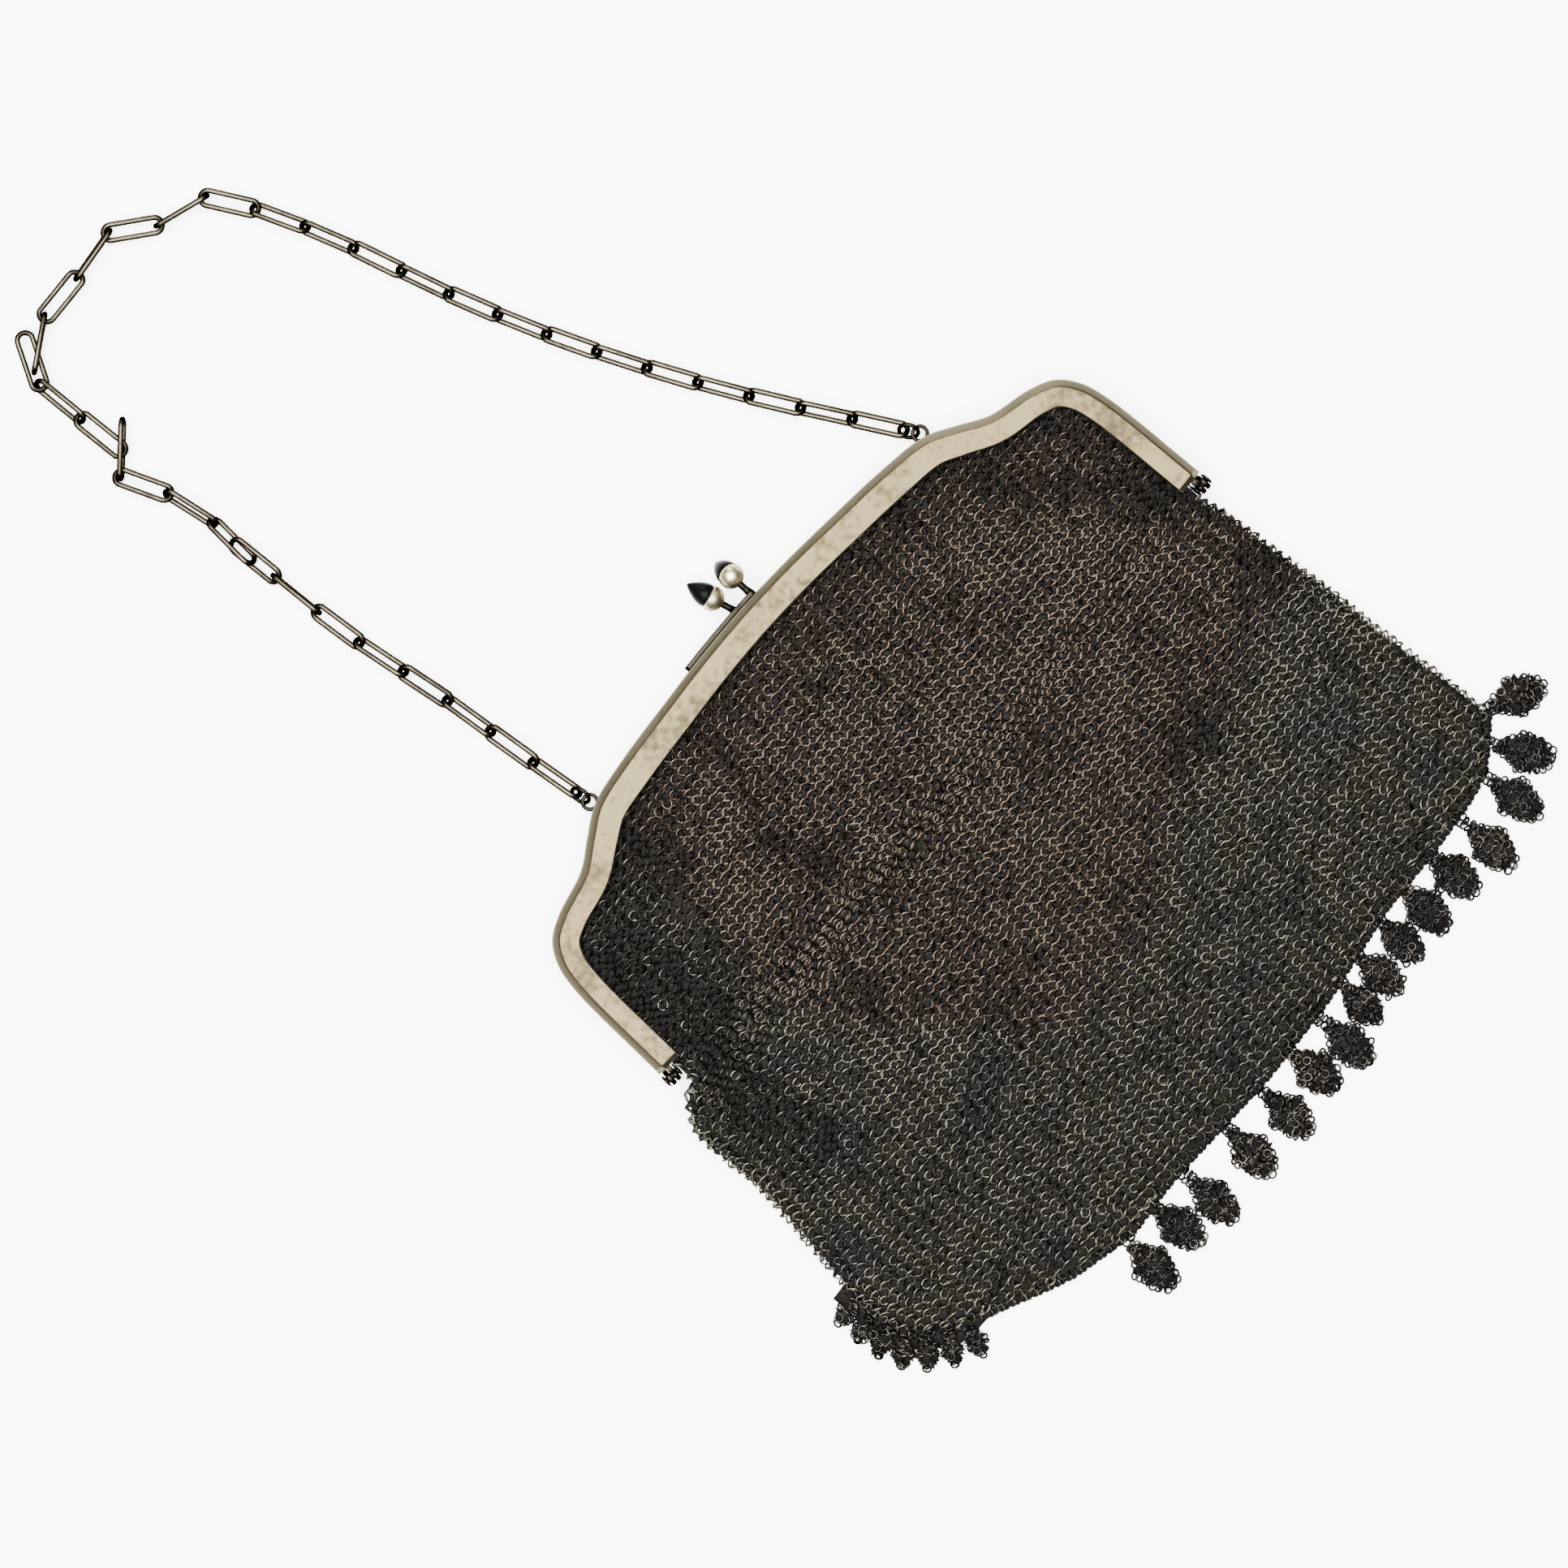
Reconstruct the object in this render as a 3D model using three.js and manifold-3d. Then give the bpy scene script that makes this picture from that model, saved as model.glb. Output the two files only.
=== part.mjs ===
// A metal mesh purse, lying flat and closed, with its wrist chain laid out above it.
// Millimetres, +Z up. X runs along the frame and Y from the bag towards the chain. The origin is the middle
// of the flat face that the back half of the frame rests on, under the crown of its arch.

import * as THREE from 'three';
import { mergeVertices } from 'three/addons/utils/BufferGeometryUtils.js';
import Module from 'manifold-3d';

const wasm = await Module();
wasm.setup();

// Clearances

const CLEARANCE = 0.3;          // left between two pieces that seat on each other
const HOOK_CLEARANCE = 0.45;    // end play where one chain link hooks the next

// Frame: two equal halves, one over the other, that meet at a narrow split

const FRAME_WIDTH = 152;        // over the outer edges of the arms
const FRAME_DROP = 47;          // from the crown of the arch to the ends of the arms
const HALF_THICKNESS = 4.8;     // of one half, from its flat face to the split
const SPLIT_GAP = 0.4;          // between the closed halves
const BAND_CROWN = 6.4;         // width of the band at the crown of the arch
const BAND_ARM = 5.3;           // width of the band along the arms
const BAND_CHANGE = [0.3, 0.7]; // where it changes, as shares of the way from the crown to the arm's end
const BEVEL_WIDTH = 1.5;        // sloped outer border of the flat face, seen from the front
const BEVEL_DEPTH = 1.3;        // how far that border falls away
const PLATE = 0.8;              // metal between the groove and the flat face
const GRIP = 1.8;               // how far the mesh reaches into the groove
const GROOVE_PLAY = 0.45;       // and how far its edge stays from the groove's floor
const FRAME_STATIONS = 46;      // steps along one half

// Half of the frame's outer edge, from the crown to the end of an arm.
// across: share of half the frame's width; down: share of FRAME_DROP
const FRAME_EDGE = [
  { across: 0.000, down: 0.000 },
  { across: 0.158, down: 0.007 },
  { across: 0.303, down: 0.024 },
  { across: 0.483, down: 0.050 },
  { across: 0.609, down: 0.086 },
  { across: 0.684, down: 0.153 },
  { across: 0.758, down: 0.225 },
  { across: 0.868, down: 0.272 },
  { across: 0.930, down: 0.322 },
  { across: 0.966, down: 0.405 },
  { across: 0.984, down: 0.520 },
  { across: 1.000, down: 1.000 },
];

// Hinge at the end of each arm: two lugs side by side on one rivet

const LUG_RADIUS = 1.6;
const LUG_THICKNESS = 0.9;
const LUG_ROOT = 1.2;           // how deep a lug's foot is let into its arm
const RIVET_RADIUS = 0.7;
const RIVET_HEAD_RADIUS = 1.3;
const RIVET_HEAD = 0.5;

// Kiss-lock clasp: an acorn on each half, one on a long sprung strip, one on a short foot

const STRIP_THICKNESS = 0.7;
const STRIP_WIDTH = 2.6;
const STRIP_FROM = -16;         // free end of the sprung strip, along X
const STRIP_STEP = 2.5;         // length of one straight run where a strip follows the frame
const FOOT_LENGTH = 5;          // of the other acorn's foot
const ACORN_SPACING = 5.5;      // between the two acorns
const ACORN_RADIUS = 2.45;
const ACORN_RISE = 5.6;         // from the frame's edge to the middle of an acorn
const ACORN_BELT = 0.4;         // straight rim of the cup over its round bowl
const TIP_LENGTH = 4.7;         // of the dark pointed tip
const STEM_RADIUS = 0.85;
const STEM_SHORT = 0.15;        // share of its run by which a stem ends short of the cup's middle
const BACK_LEAN = 12;           // degrees that the back acorn leans sideways
const FRONT_NOD = 42;           // degrees that the front acorn nods over the split

// Eyes on the back half, and the rings that tie the chain to them

const EYE_SHARE = 0.61;         // of half the frame's width, where the eyes are soldered
const EYE_OUTER = 3.6;
const EYE_WIRE = 0.8;
const RING_MEAN = 3.7;          // diameter of a jump ring at the middle of its wire
const RING_WIRE = 0.7;
const RING_ROLL = -54;          // degrees that a jump ring is rolled about the chain

// Chain of long oval links. They fill the route between the two rings, so their length follows from it.

const LINK_COUNT = 34;
const LINK_WIRE = 0.97;
const LINK_WIDTH = 4.0;         // outer width of a link
const CHAIN_HEIGHT = 2.15;      // middle of the chain above the surface that it lies on
const EVEN_ROLL = -30;          // degrees that every second link is rolled about the chain
const ODD_ROLL = 52;            // and the others

// Where the chain lies, from the left ring round to the right one, x and y in turn
const CHAIN_ROUTE = [
  [-48.4, 14.2], [-50.5, 34.4], [-53.6, 55.1], [-54.9, 75.6], [-55.7, 91.8], [-57.1, 101.4],
  [-59.3, 106.5], [-60.8, 110.4], [-57.2, 113.2], [-57.0, 121.6], [-57.4, 131.2], [-56.0, 132.5],
  [-46.7, 139.3], [-37.1, 139.5], [-27.9, 140.8], [-19.9, 134.6], [-10.7, 132.0], [-5.8, 123.8],
  [1.1, 105.4], [6.7, 86.1], [13.5, 66.7], [21.6, 47.8], [30.5, 29.9],
];

// Links that lie slack or turned. enter and leave: where its neighbours hook it, as shares of its length;
// slip: how far it has slipped back along the link before it, as such a share; heading: degrees from X, or
// null where it follows the route; roll: degrees about the chain
const ODD_LINKS = [
  { link: 7, enter: 0, leave: 1, slip: 0, heading: null, roll: 88 },
  { link: 9, enter: 0.42, leave: 1, slip: 0, heading: 87, roll: 50 },
  { link: 10, enter: 0, leave: 1, slip: 0, heading: null, roll: -62 },
  { link: 11, enter: 0, leave: 1, slip: 0, heading: null, roll: 8 },
  { link: 12, enter: -0.03, leave: 0.45, slip: 0.045, heading: 40, roll: 88 },
  { link: 13, enter: 0, leave: 1, slip: 0, heading: null, roll: 10 },
  { link: 14, enter: 0, leave: 1, slip: 0, heading: null, roll: -52 },
  { link: 15, enter: 0.04, leave: 0.34, slip: 0, heading: 60, roll: 6 },
  { link: 16, enter: 0, leave: 1, slip: 0, heading: null, roll: -82 },
  { link: 17, enter: 0, leave: 1, slip: 0, heading: null, roll: 5 },
  { link: 18, enter: 0, leave: 1, slip: 0, heading: null, roll: -75 },
  { link: 19, enter: 0.03, leave: 1, slip: 0, heading: null, roll: 5 },
  { link: 20, enter: 0, leave: 1, slip: 0, heading: null, roll: -80 },
  { link: 21, enter: 0.01, leave: 1, slip: 0, heading: null, roll: 15 },
  { link: 22, enter: 0, leave: 1, slip: 0, heading: null, roll: -42 },
];

// Bag

const MESH_WALL = 1.4;          // thickness of one layer of linked rings
const BAG_WIDTH = 162;
const BAG_DROP = 133;           // from the crown of the frame to the lowest point of the bag's edge
const BELOW_HINGE = 1.5;        // from the hinge's lowest point to where the sides begin to bulge
const BAG_CREST = 8.0;          // height of the front layer's middle below the frame
const BAG_FOOT = 4.4;           // and along the bottom edge
const BACK_LIFT = 0.05;         // of the back layer off the surface
const RIM_SPREAD = 0.4;         // how far the columns follow the rim's plan rather than even steps
const CREST_FALL = 0.3;         // row from which the front starts to sink towards the bottom
const SIDE_ROUND = [0.016, 0.05]; // width of the side folds' rounding at the top and from the middle down
const SIDE_CHANGE = [0.2, 0.6]; // rows between which it widens
const BOTTOM_ROUND = 0.05;      // height of the bottom fold's rounding
const FRAME_BLEND = 6;          // over which the layers leave the frame's grooves
const EDGE_SAMPLES = 160;       // steps of the frame's edge from which that distance is measured
const FOLD_DEPTH = 1.2;
const FOLD_SPREAD = 6;

// Sides of the bag below the hinges. down: share of BAG_DROP; left, right: shares of half of BAG_WIDTH
const BAG_SIDES = [
  { down: 0.392, left: 0.901, right: 0.898 },
  { down: 0.405, left: 0.940, right: 0.905 },
  { down: 0.445, left: 0.985, right: 0.914 },
  { down: 0.583, left: 0.983, right: 0.938 },
  { down: 0.663, left: 1.001, right: 0.948 },
  { down: 0.744, left: 1.019, right: 0.958 },
  { down: 0.820, left: 1.012, right: 0.970 },
  { down: 0.900, left: 0.990, right: 0.981 },
];

// Bottom edge of the bag. across: share of its width; down: share of BAG_DROP
const BAG_BOTTOM = [
  { across: 0.000, down: 0.860 },
  { across: 0.035, down: 0.907 },
  { across: 0.085, down: 0.930 },
  { across: 0.168, down: 0.976 },
  { across: 0.258, down: 1.000 },
  { across: 0.334, down: 0.991 },
  { across: 0.500, down: 0.995 },
  { across: 0.615, down: 0.986 },
  { across: 0.747, down: 0.960 },
  { across: 0.831, down: 0.956 },
  { across: 0.916, down: 0.945 },
  { across: 0.955, down: 0.925 },
  { across: 1.000, down: 0.882 },
];

// Folds of the front layer, each a straight crest or valley between two places.
// x: shares of half of BAG_WIDTH; y: shares of BAG_DROP; depth: share of FOLD_DEPTH; spread: of FOLD_SPREAD
const FOLDS = [
  { x1: 0.580, y1: 0.169, x2: 0.835, y2: 0.353, depth: -0.9, spread: 0.8 },
  { x1: 0.500, y1: 0.210, x2: 0.760, y2: 0.400, depth: 0.5, spread: 1.0 },
  { x1: -0.500, y1: 0.090, x2: -0.640, y2: 0.273, depth: -0.7, spread: 0.8 },
  { x1: -0.350, y1: 0.075, x2: -0.520, y2: 0.250, depth: 0.4, spread: 0.9 },
  { x1: -0.785, y1: 0.215, x2: -0.680, y2: 0.342, depth: -0.9, spread: 0.9 },
  { x1: -0.355, y1: 0.261, x2: -0.280, y2: 0.457, depth: -0.6, spread: 0.8 },
  { x1: -0.840, y1: 0.400, x2: -0.785, y2: 0.583, depth: -0.7, spread: 0.8 },
  { x1: -0.915, y1: 0.470, x2: -0.915, y2: 0.860, depth: -0.5, spread: 0.6 },
  { x1: -0.520, y1: 0.480, x2: -0.280, y2: 0.675, depth: -0.5, spread: 0.9 },
  { x1: 0.890, y1: 0.503, x2: 0.340, y2: 0.630, depth: -0.5, spread: 1.0 },
];

// Fringe of small mesh drops on a narrow hem round the bottom edge

const HEM_WIDTH = 1.0;
const HEM_HEIGHT = 1.6;
const HEM_SECTIONS = 42;
const HEM_START = 0.85;         // row of the bag, down its left side, where the hem begins
const HEM_SIDE_POINTS = 6;      // measured on the bag's left side
const HEM_POINTS = 40;          // and along its bottom edge
const HEM_SLOPE = 0.02;         // share of the hem to either side over which its direction is taken
const DROPS_PER_HEM = 23.5;     // full drops that fit side by side along the hem, which gives their width
const DROP_LENGTH = 11.8;
const DROP_THICKNESS = 1.8;
const NECK_WIDTH = 2.0;         // of the strand that a drop hangs on

// along: share of the hem's length; hang: share of DROP_LENGTH from the bag's edge to the drop's middle;
// lean: degrees from straight down, to the right; size: share of the full size
const DROPS = [
  { along: 0.021, hang: 0.34, lean: -88, size: 0.55 },
  { along: 0.041, hang: 0.37, lean: -80, size: 0.60 },
  { along: 0.061, hang: 0.38, lean: -70, size: 0.63 },
  { along: 0.081, hang: 0.37, lean: -59, size: 0.60 },
  { along: 0.101, hang: 0.40, lean: -48, size: 0.65 },
  { along: 0.121, hang: 0.38, lean: -35, size: 0.62 },
  { along: 0.141, hang: 0.37, lean: -20, size: 0.58 },
  { along: 0.327, hang: 0.74, lean: -3, size: 1.0 },
  { along: 0.371, hang: 0.63, lean: 4, size: 1.0 },
  { along: 0.418, hang: 0.81, lean: 0, size: 1.0 },
  { along: 0.484, hang: 0.75, lean: -4, size: 1.0 },
  { along: 0.536, hang: 0.76, lean: 0, size: 1.0 },
  { along: 0.586, hang: 0.64, lean: 3, size: 1.0 },
  { along: 0.632, hang: 0.79, lean: 0, size: 1.0 },
  { along: 0.674, hang: 0.59, lean: -3, size: 0.9 },
  { along: 0.707, hang: 0.59, lean: 2, size: 0.95 },
  { along: 0.749, hang: 0.59, lean: 0, size: 0.95 },
  { along: 0.792, hang: 0.61, lean: -2, size: 1.0 },
  { along: 0.835, hang: 0.59, lean: 3, size: 1.0 },
  { along: 0.885, hang: 0.82, lean: 0, size: 1.0 },
  { along: 0.936, hang: 0.79, lean: 6, size: 1.0 },
  { along: 0.966, hang: 0.72, lean: 28, size: 1.0 },
  { along: 0.998, hang: 0.60, lean: 66, size: 1.0 },
];

// Outline of one drop. across: share of its half width; along: share of its half length, up towards the hem
const DROP_OUTLINE = [
  { across: 0.98, along: 0.22 },
  { across: 0.90, along: -0.30 },
  { across: 0.36, along: -0.86 },
  { across: 0.00, along: -1.00 },
];

// Colours

const silver = { color: 0xcdc3aa, roughness: 0.34, metalness: 1.0 };
const agedSilver = { color: 0x8b7f69, roughness: 0.4, metalness: 1.0 };
const darkTip = { color: 0x17171c, roughness: 0.25, metalness: 0.3 };
const meshMetal = { color: 0x5e5347, roughness: 0.5, metalness: 0.9 };
const fringeMetal = { color: 0x3d3a37, roughness: 0.5, metalness: 0.9 };

// What follows from these sizes

const { clamp, degToRad, lerp, smoothstep } = THREE.MathUtils;

const crownY = (BAND_CROWN + BEVEL_WIDTH) / 2;
const middleZ = HALF_THICKNESS + SPLIT_GAP / 2;
const grooveHeight = MESH_WALL + 2 * CLEARANCE;
const grooveMiddle = HALF_THICKNESS - PLATE - grooveHeight / 2;
const wallMiddle = (HALF_THICKNESS - BEVEL_DEPTH) / 2;
const lugOffset = LUG_RADIUS + CLEARANCE;
const hingeReach = lugOffset + LUG_RADIUS;
const rimReach = hingeReach + 2 * CLEARANCE;

// Solid helpers

function solidGeometry(positions, triangles) {
  const geometry = new THREE.BufferGeometry();
  geometry.setAttribute('position', new THREE.Float32BufferAttribute(positions, 3));
  geometry.setIndex(triangles);
  return weld(geometry);
}

// Joins the vertices that coincide, drops triangles that this closes up, and turns the faces outwards.
function weld(geometry) {
  geometry.deleteAttribute('normal');
  geometry.deleteAttribute('uv');
  const merged = mergeVertices(geometry, 1e-4);
  const kept = [];
  const index = merged.index.array;
  const a = new THREE.Vector3();
  const b = new THREE.Vector3();
  const c = new THREE.Vector3();
  let volume = 0;
  for (let i = 0; i < index.length; i += 3) {
    const [p, q, r] = [index[i], index[i + 1], index[i + 2]];
    if (p === q || q === r || r === p) {
      continue;
    }
    kept.push(p, q, r);
    a.fromBufferAttribute(merged.attributes.position, p);
    b.fromBufferAttribute(merged.attributes.position, q);
    c.fromBufferAttribute(merged.attributes.position, r);
    volume += a.dot(b.cross(c));
  }
  if (volume < 0) {
    kept.reverse();
  }
  merged.setIndex(kept);
  return merged;
}

function toSolid(geometry) {
  const welded = weld(geometry);
  return new wasm.Manifold(new wasm.Mesh({
    numProp: 3,
    vertProperties: new Float32Array(welded.attributes.position.array),
    triVerts: new Uint32Array(welded.index.array),
  }));
}

function fromSolid(solid) {
  const mesh = solid.getMesh();
  return solidGeometry(Array.from(mesh.vertProperties), Array.from(mesh.triVerts));
}

function fuse(geometries) {
  return geometries.map(toSolid).reduce((whole, piece) => whole.add(piece));
}

// Skins a row of equal sections, given as lists of Vector3, and closes both ends with their flat profile.
function closedLoft(sections, profile) {
  const count = profile.length;
  const last = (sections.length - 1) * count;
  const positions = sections.flat().flatMap((point) => point.toArray());
  const triangles = [];
  for (let first = 0; first < last; first += count) {
    for (let i = 0; i < count; i += 1) {
      const [p, q] = [first + i, first + (i + 1) % count];
      triangles.push(p, q, q + count, p, q + count, p + count);
    }
  }
  const turn = Math.sign(THREE.ShapeUtils.area(profile));
  for (const corners of THREE.ShapeUtils.triangulateShape(profile, [])) {
    const sameTurn = Math.sign(THREE.ShapeUtils.area(corners.map((k) => profile[k]))) === turn;
    const [p, q, r] = sameTurn ? corners : corners.slice().reverse();
    triangles.push(r, q, p, last + p, last + q, last + r);
  }
  return solidGeometry(positions, triangles);
}

// Reads a table of rows at one value of its key column, with straight runs between the rows.
function readTable(rows, key, value, column) {
  const at = clamp(value, rows[0][key], rows[rows.length - 1][key]);
  const next = Math.max(1, rows.findIndex((row) => row[key] >= at));
  const [low, high] = [rows[next - 1], rows[next]];
  return lerp(low[column], high[column], (at - low[key]) / (high[key] - low[key]));
}

// Frame

const halfEdge = FRAME_EDGE.map((row) => new THREE.Vector3(
  row.across * FRAME_WIDTH / 2,
  crownY - row.down * FRAME_DROP,
  0,
));
const mirroredEdge = halfEdge.slice(1).reverse().map((point) => new THREE.Vector3(-point.x, point.y, 0));
const edgeCurve = new THREE.CatmullRomCurve3([...mirroredEdge, ...halfEdge], false, 'centripetal');
edgeCurve.arcLengthDivisions = 800;
const edgeLength = edgeCurve.getLength();

// A place on the frame in plan. along: share of the outer edge, from the left arm's end to the right one's,
// which may run past either end; inset: inwards from the outer edge.
function onFrame(along, inset) {
  const share = clamp(along, 0, 1);
  const point = edgeCurve.getPointAt(share);
  const tangent = edgeCurve.getTangentAt(share);
  const beyond = (along - share) * edgeLength;
  return new THREE.Vector2(
    point.x + tangent.x * beyond + tangent.y * inset,
    point.y + tangent.y * beyond - tangent.x * inset,
  );
}

function bandWidth(along) {
  const fromCrown = Math.abs(2 * clamp(along, 0, 1) - 1);
  return lerp(BAND_CROWN, BAND_ARM, smoothstep(fromCrown, ...BAND_CHANGE));
}

// Section of one half: x is the inset from the outer edge, y the height over the split.
function frameSection(along) {
  const band = bandWidth(along);
  const bottom = band - GRIP - GROOVE_PLAY;
  const top = HALF_THICKNESS;
  return [
    [0, 0],
    [0, top - BEVEL_DEPTH],
    [BEVEL_WIDTH, top],
    [band, top],
    [band, top - PLATE],
    [bottom, top - PLATE],
    [bottom, top - PLATE - grooveHeight],
    [band, top - PLATE - grooveHeight],
    [band, 0],
  ].map(([inset, height]) => new THREE.Vector2(inset, height));
}

// side: 1 for the front half, over the split, and -1 for the back half, under it
function splitZ(side, height) {
  return middleZ + side * (SPLIT_GAP / 2 + height);
}

function frameBar(side) {
  const sections = [];
  for (let k = 0; k <= FRAME_STATIONS; k += 1) {
    const along = k / FRAME_STATIONS;
    sections.push(frameSection(along).map((corner) => {
      const place = onFrame(along, corner.x);
      return new THREE.Vector3(place.x, place.y, splitZ(side, corner.y));
    }));
  }
  return closedLoft(sections, frameSection(0));
}

// The end of an arm as a frame of axes: X inwards across the band, Y up the arm, Z up.
function armEnd(end) {
  const tangent = edgeCurve.getTangentAt(end).multiplyScalar(end === 0 ? 1 : -1);
  const inwards = new THREE.Vector3(tangent.y, -tangent.x, 0).multiplyScalar(end === 0 ? 1 : -1);
  const place = edgeCurve.getPointAt(end);
  const matrix = new THREE.Matrix4().makeBasis(inwards, tangent, new THREE.Vector3(0, 0, 1));
  return matrix.setPosition(place.x, place.y, middleZ);
}

function rod(radius, fromX, toX, sides) {
  const geometry = new THREE.CylinderGeometry(radius, radius, toX - fromX, sides);
  geometry.rotateZ(Math.PI / 2);
  geometry.translate((fromX + toX) / 2, -lugOffset, 0);
  return geometry;
}

// The back half's lug lies outside and the front half's next to it.
const lugInset = (side) => CLEARANCE + (side > 0 ? LUG_THICKNESS + CLEARANCE : 0);
const rivetEnd = lugInset(1) + LUG_THICKNESS + CLEARANCE;

function hingeLug(side, end) {
  const from = lugInset(side);
  const disc = rod(LUG_RADIUS, from, from + LUG_THICKNESS, 10);
  const footHeight = LUG_RADIUS + CLEARANCE;
  const foot = new THREE.BoxGeometry(LUG_THICKNESS, lugOffset + LUG_ROOT, footHeight);
  const footZ = side * (SPLIT_GAP / 2 + CLEARANCE / 2 + footHeight / 2);
  foot.translate(from + LUG_THICKNESS / 2, (LUG_ROOT - lugOffset) / 2, footZ);
  return [disc, foot].map((geometry) => geometry.applyMatrix4(armEnd(end)));
}

function rivetHole(end) {
  const from = -RIVET_HEAD - CLEARANCE;
  return rod(RIVET_RADIUS + CLEARANCE, from, rivetEnd + RIVET_HEAD, 8).applyMatrix4(armEnd(end));
}

function rivet(end) {
  const pieces = [
    rod(RIVET_HEAD_RADIUS, -RIVET_HEAD, 0, 10),
    rod(RIVET_RADIUS, -RIVET_HEAD / 2, rivetEnd + RIVET_HEAD / 2, 8),
    rod(RIVET_HEAD_RADIUS, rivetEnd, rivetEnd + RIVET_HEAD, 10),
  ];
  return fromSolid(fuse(pieces.map((geometry) => geometry.applyMatrix4(armEnd(end)))));
}

// Share of the outer edge at a given x.
function alongAtX(x) {
  let [low, high] = [0.2, 0.8];
  for (let step = 0; step < 40; step += 1) {
    const middle = (low + high) / 2;
    [low, high] = edgeCurve.getPointAt(middle).x < x ? [middle, high] : [low, middle];
  }
  return low;
}

const eyeRadius = (EYE_OUTER - EYE_WIRE) / 2;
const eyeZ = Math.min(HALF_THICKNESS / 2, CHAIN_HEIGHT);

function eyePlace(hand) {
  const along = alongAtX(hand * EYE_SHARE * FRAME_WIDTH / 2);
  const edge = onFrame(along, 0);
  const out = onFrame(along, -1).sub(edge);
  const centre = edge.clone().addScaledVector(out, eyeRadius - EYE_WIRE / 4);
  return { centre, out };
}

function eye(hand) {
  const { centre } = eyePlace(hand);
  const geometry = new THREE.TorusGeometry(eyeRadius, EYE_WIRE / 2, 5, 12);
  geometry.translate(centre.x, centre.y, eyeZ);
  return geometry;
}

function frameHalf(side) {
  const pieces = [frameBar(side), ...hingeLug(side, 0), ...hingeLug(side, 1)];
  if (side < 0) {
    pieces.push(eye(-1), eye(1));
  }
  const holes = fuse([rivetHole(0), rivetHole(1)]);
  return fromSolid(fuse(pieces).subtract(holes));
}

// Clasp

// A flat strip along the frame's outer edge, on the wall of one half.
function edgeStrip(fromX, toX, side) {
  const z = splitZ(side, wallMiddle);
  const count = Math.max(2, Math.round((toX - fromX) / STRIP_STEP));
  const half = STRIP_WIDTH / 2;
  const profile = [[CLEARANCE, -half], [CLEARANCE + STRIP_THICKNESS, -half],
    [CLEARANCE + STRIP_THICKNESS, half], [CLEARANCE, half]];
  const sections = [];
  for (let k = 0; k <= count; k += 1) {
    const along = alongAtX(lerp(fromX, toX, k / count));
    sections.push(profile.map(([out, up]) => {
      const place = onFrame(along, -out);
      return new THREE.Vector3(place.x, place.y, z + up);
    }));
  }
  return closedLoft(sections, profile.map(([out, up]) => new THREE.Vector2(out, up)));
}

function roundProfile(rows) {
  return new THREE.LatheGeometry(rows.map(([radius, height]) => new THREE.Vector2(radius, height)), 12);
}

// The silver cup, turned about Y, with the middle of the acorn at the origin.
function acornCup() {
  const rows = [[0, -ACORN_RADIUS]];
  for (let degrees = -65; degrees <= 0; degrees += 65 / 4) {
    const angle = degToRad(degrees);
    rows.push([ACORN_RADIUS * Math.cos(angle), ACORN_RADIUS * Math.sin(angle)]);
  }
  rows.push([ACORN_RADIUS, ACORN_BELT], [0, ACORN_BELT]);
  return roundProfile(rows);
}

function acornTip() {
  const base = ACORN_BELT + CLEARANCE;
  const rows = [[0, base]];
  for (const [radius, height] of [[0.93, 0], [0.86, 0.2], [0.66, 0.48], [0.36, 0.78], [0, 1]]) {
    rows.push([radius * ACORN_RADIUS, base + height * TIP_LENGTH]);
  }
  return roundProfile(rows);
}

// Where an acorn stands: its stem's foot and its middle, and how its head is turned.
function acornPose(side) {
  const x = side * ACORN_SPACING / 2 + (side < 0 ? Math.tan(degToRad(BACK_LEAN)) * ACORN_RISE : 0);
  const foot = new THREE.Vector3(x, onFrame(alongAtX(x), -CLEARANCE - STRIP_THICKNESS / 2).y, 0);
  foot.z = splitZ(side, wallMiddle);
  const head = new THREE.Matrix4();
  if (side < 0) {
    head.makeRotationZ(degToRad(BACK_LEAN));
  } else {
    head.makeRotationX(-degToRad(FRONT_NOD));
  }
  const headY = onFrame(alongAtX(x), 0).y + ACORN_RISE;
  head.setPosition(side * ACORN_SPACING / 2, headY, (foot.z + middleZ) / 2);
  return { foot, head };
}

function stem(foot, head) {
  const top = new THREE.Vector3().setFromMatrixPosition(head);
  const direction = top.clone().sub(foot);
  const geometry = new THREE.CylinderGeometry(STEM_RADIUS, STEM_RADIUS, direction.length(), 8);
  const turn = new THREE.Quaternion().setFromUnitVectors(new THREE.Vector3(0, 1, 0), direction.normalize());
  geometry.applyQuaternion(turn);
  const middle = top.add(foot).multiplyScalar(0.5);
  geometry.translate(middle.x, middle.y, middle.z);
  return geometry;
}

function claspArm(side) {
  const { foot, head } = acornPose(side);
  const stripFrom = side > 0 ? STRIP_FROM : foot.x - FOOT_LENGTH / 2;
  const stripTo = side > 0 ? foot.x + STEM_RADIUS : foot.x + FOOT_LENGTH / 2;
  const strip = edgeStrip(stripFrom, stripTo, side);
  const cup = acornCup().applyMatrix4(head);
  const top = new THREE.Vector3().setFromMatrixPosition(head);
  const post = stem(foot, head.clone().setPosition(top.clone().lerp(foot, STEM_SHORT)));
  return fromSolid(fuse([strip, post, cup]));
}

// Chain

const linkRadius = (LINK_WIDTH - LINK_WIRE) / 2;

// An oval link is a ring whose two halves are drawn apart along X.
function linkGeometry(innerLength) {
  const geometry = new THREE.TorusGeometry(linkRadius, LINK_WIRE / 2, 5, 10);
  const apart = innerLength / 2 + LINK_WIRE / 2 - linkRadius;
  const place = geometry.attributes.position;
  for (let i = 0; i < place.count; i += 1) {
    place.setX(i, place.getX(i) + Math.sign(place.getX(i)) * apart);
  }
  return weld(geometry);
}

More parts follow.
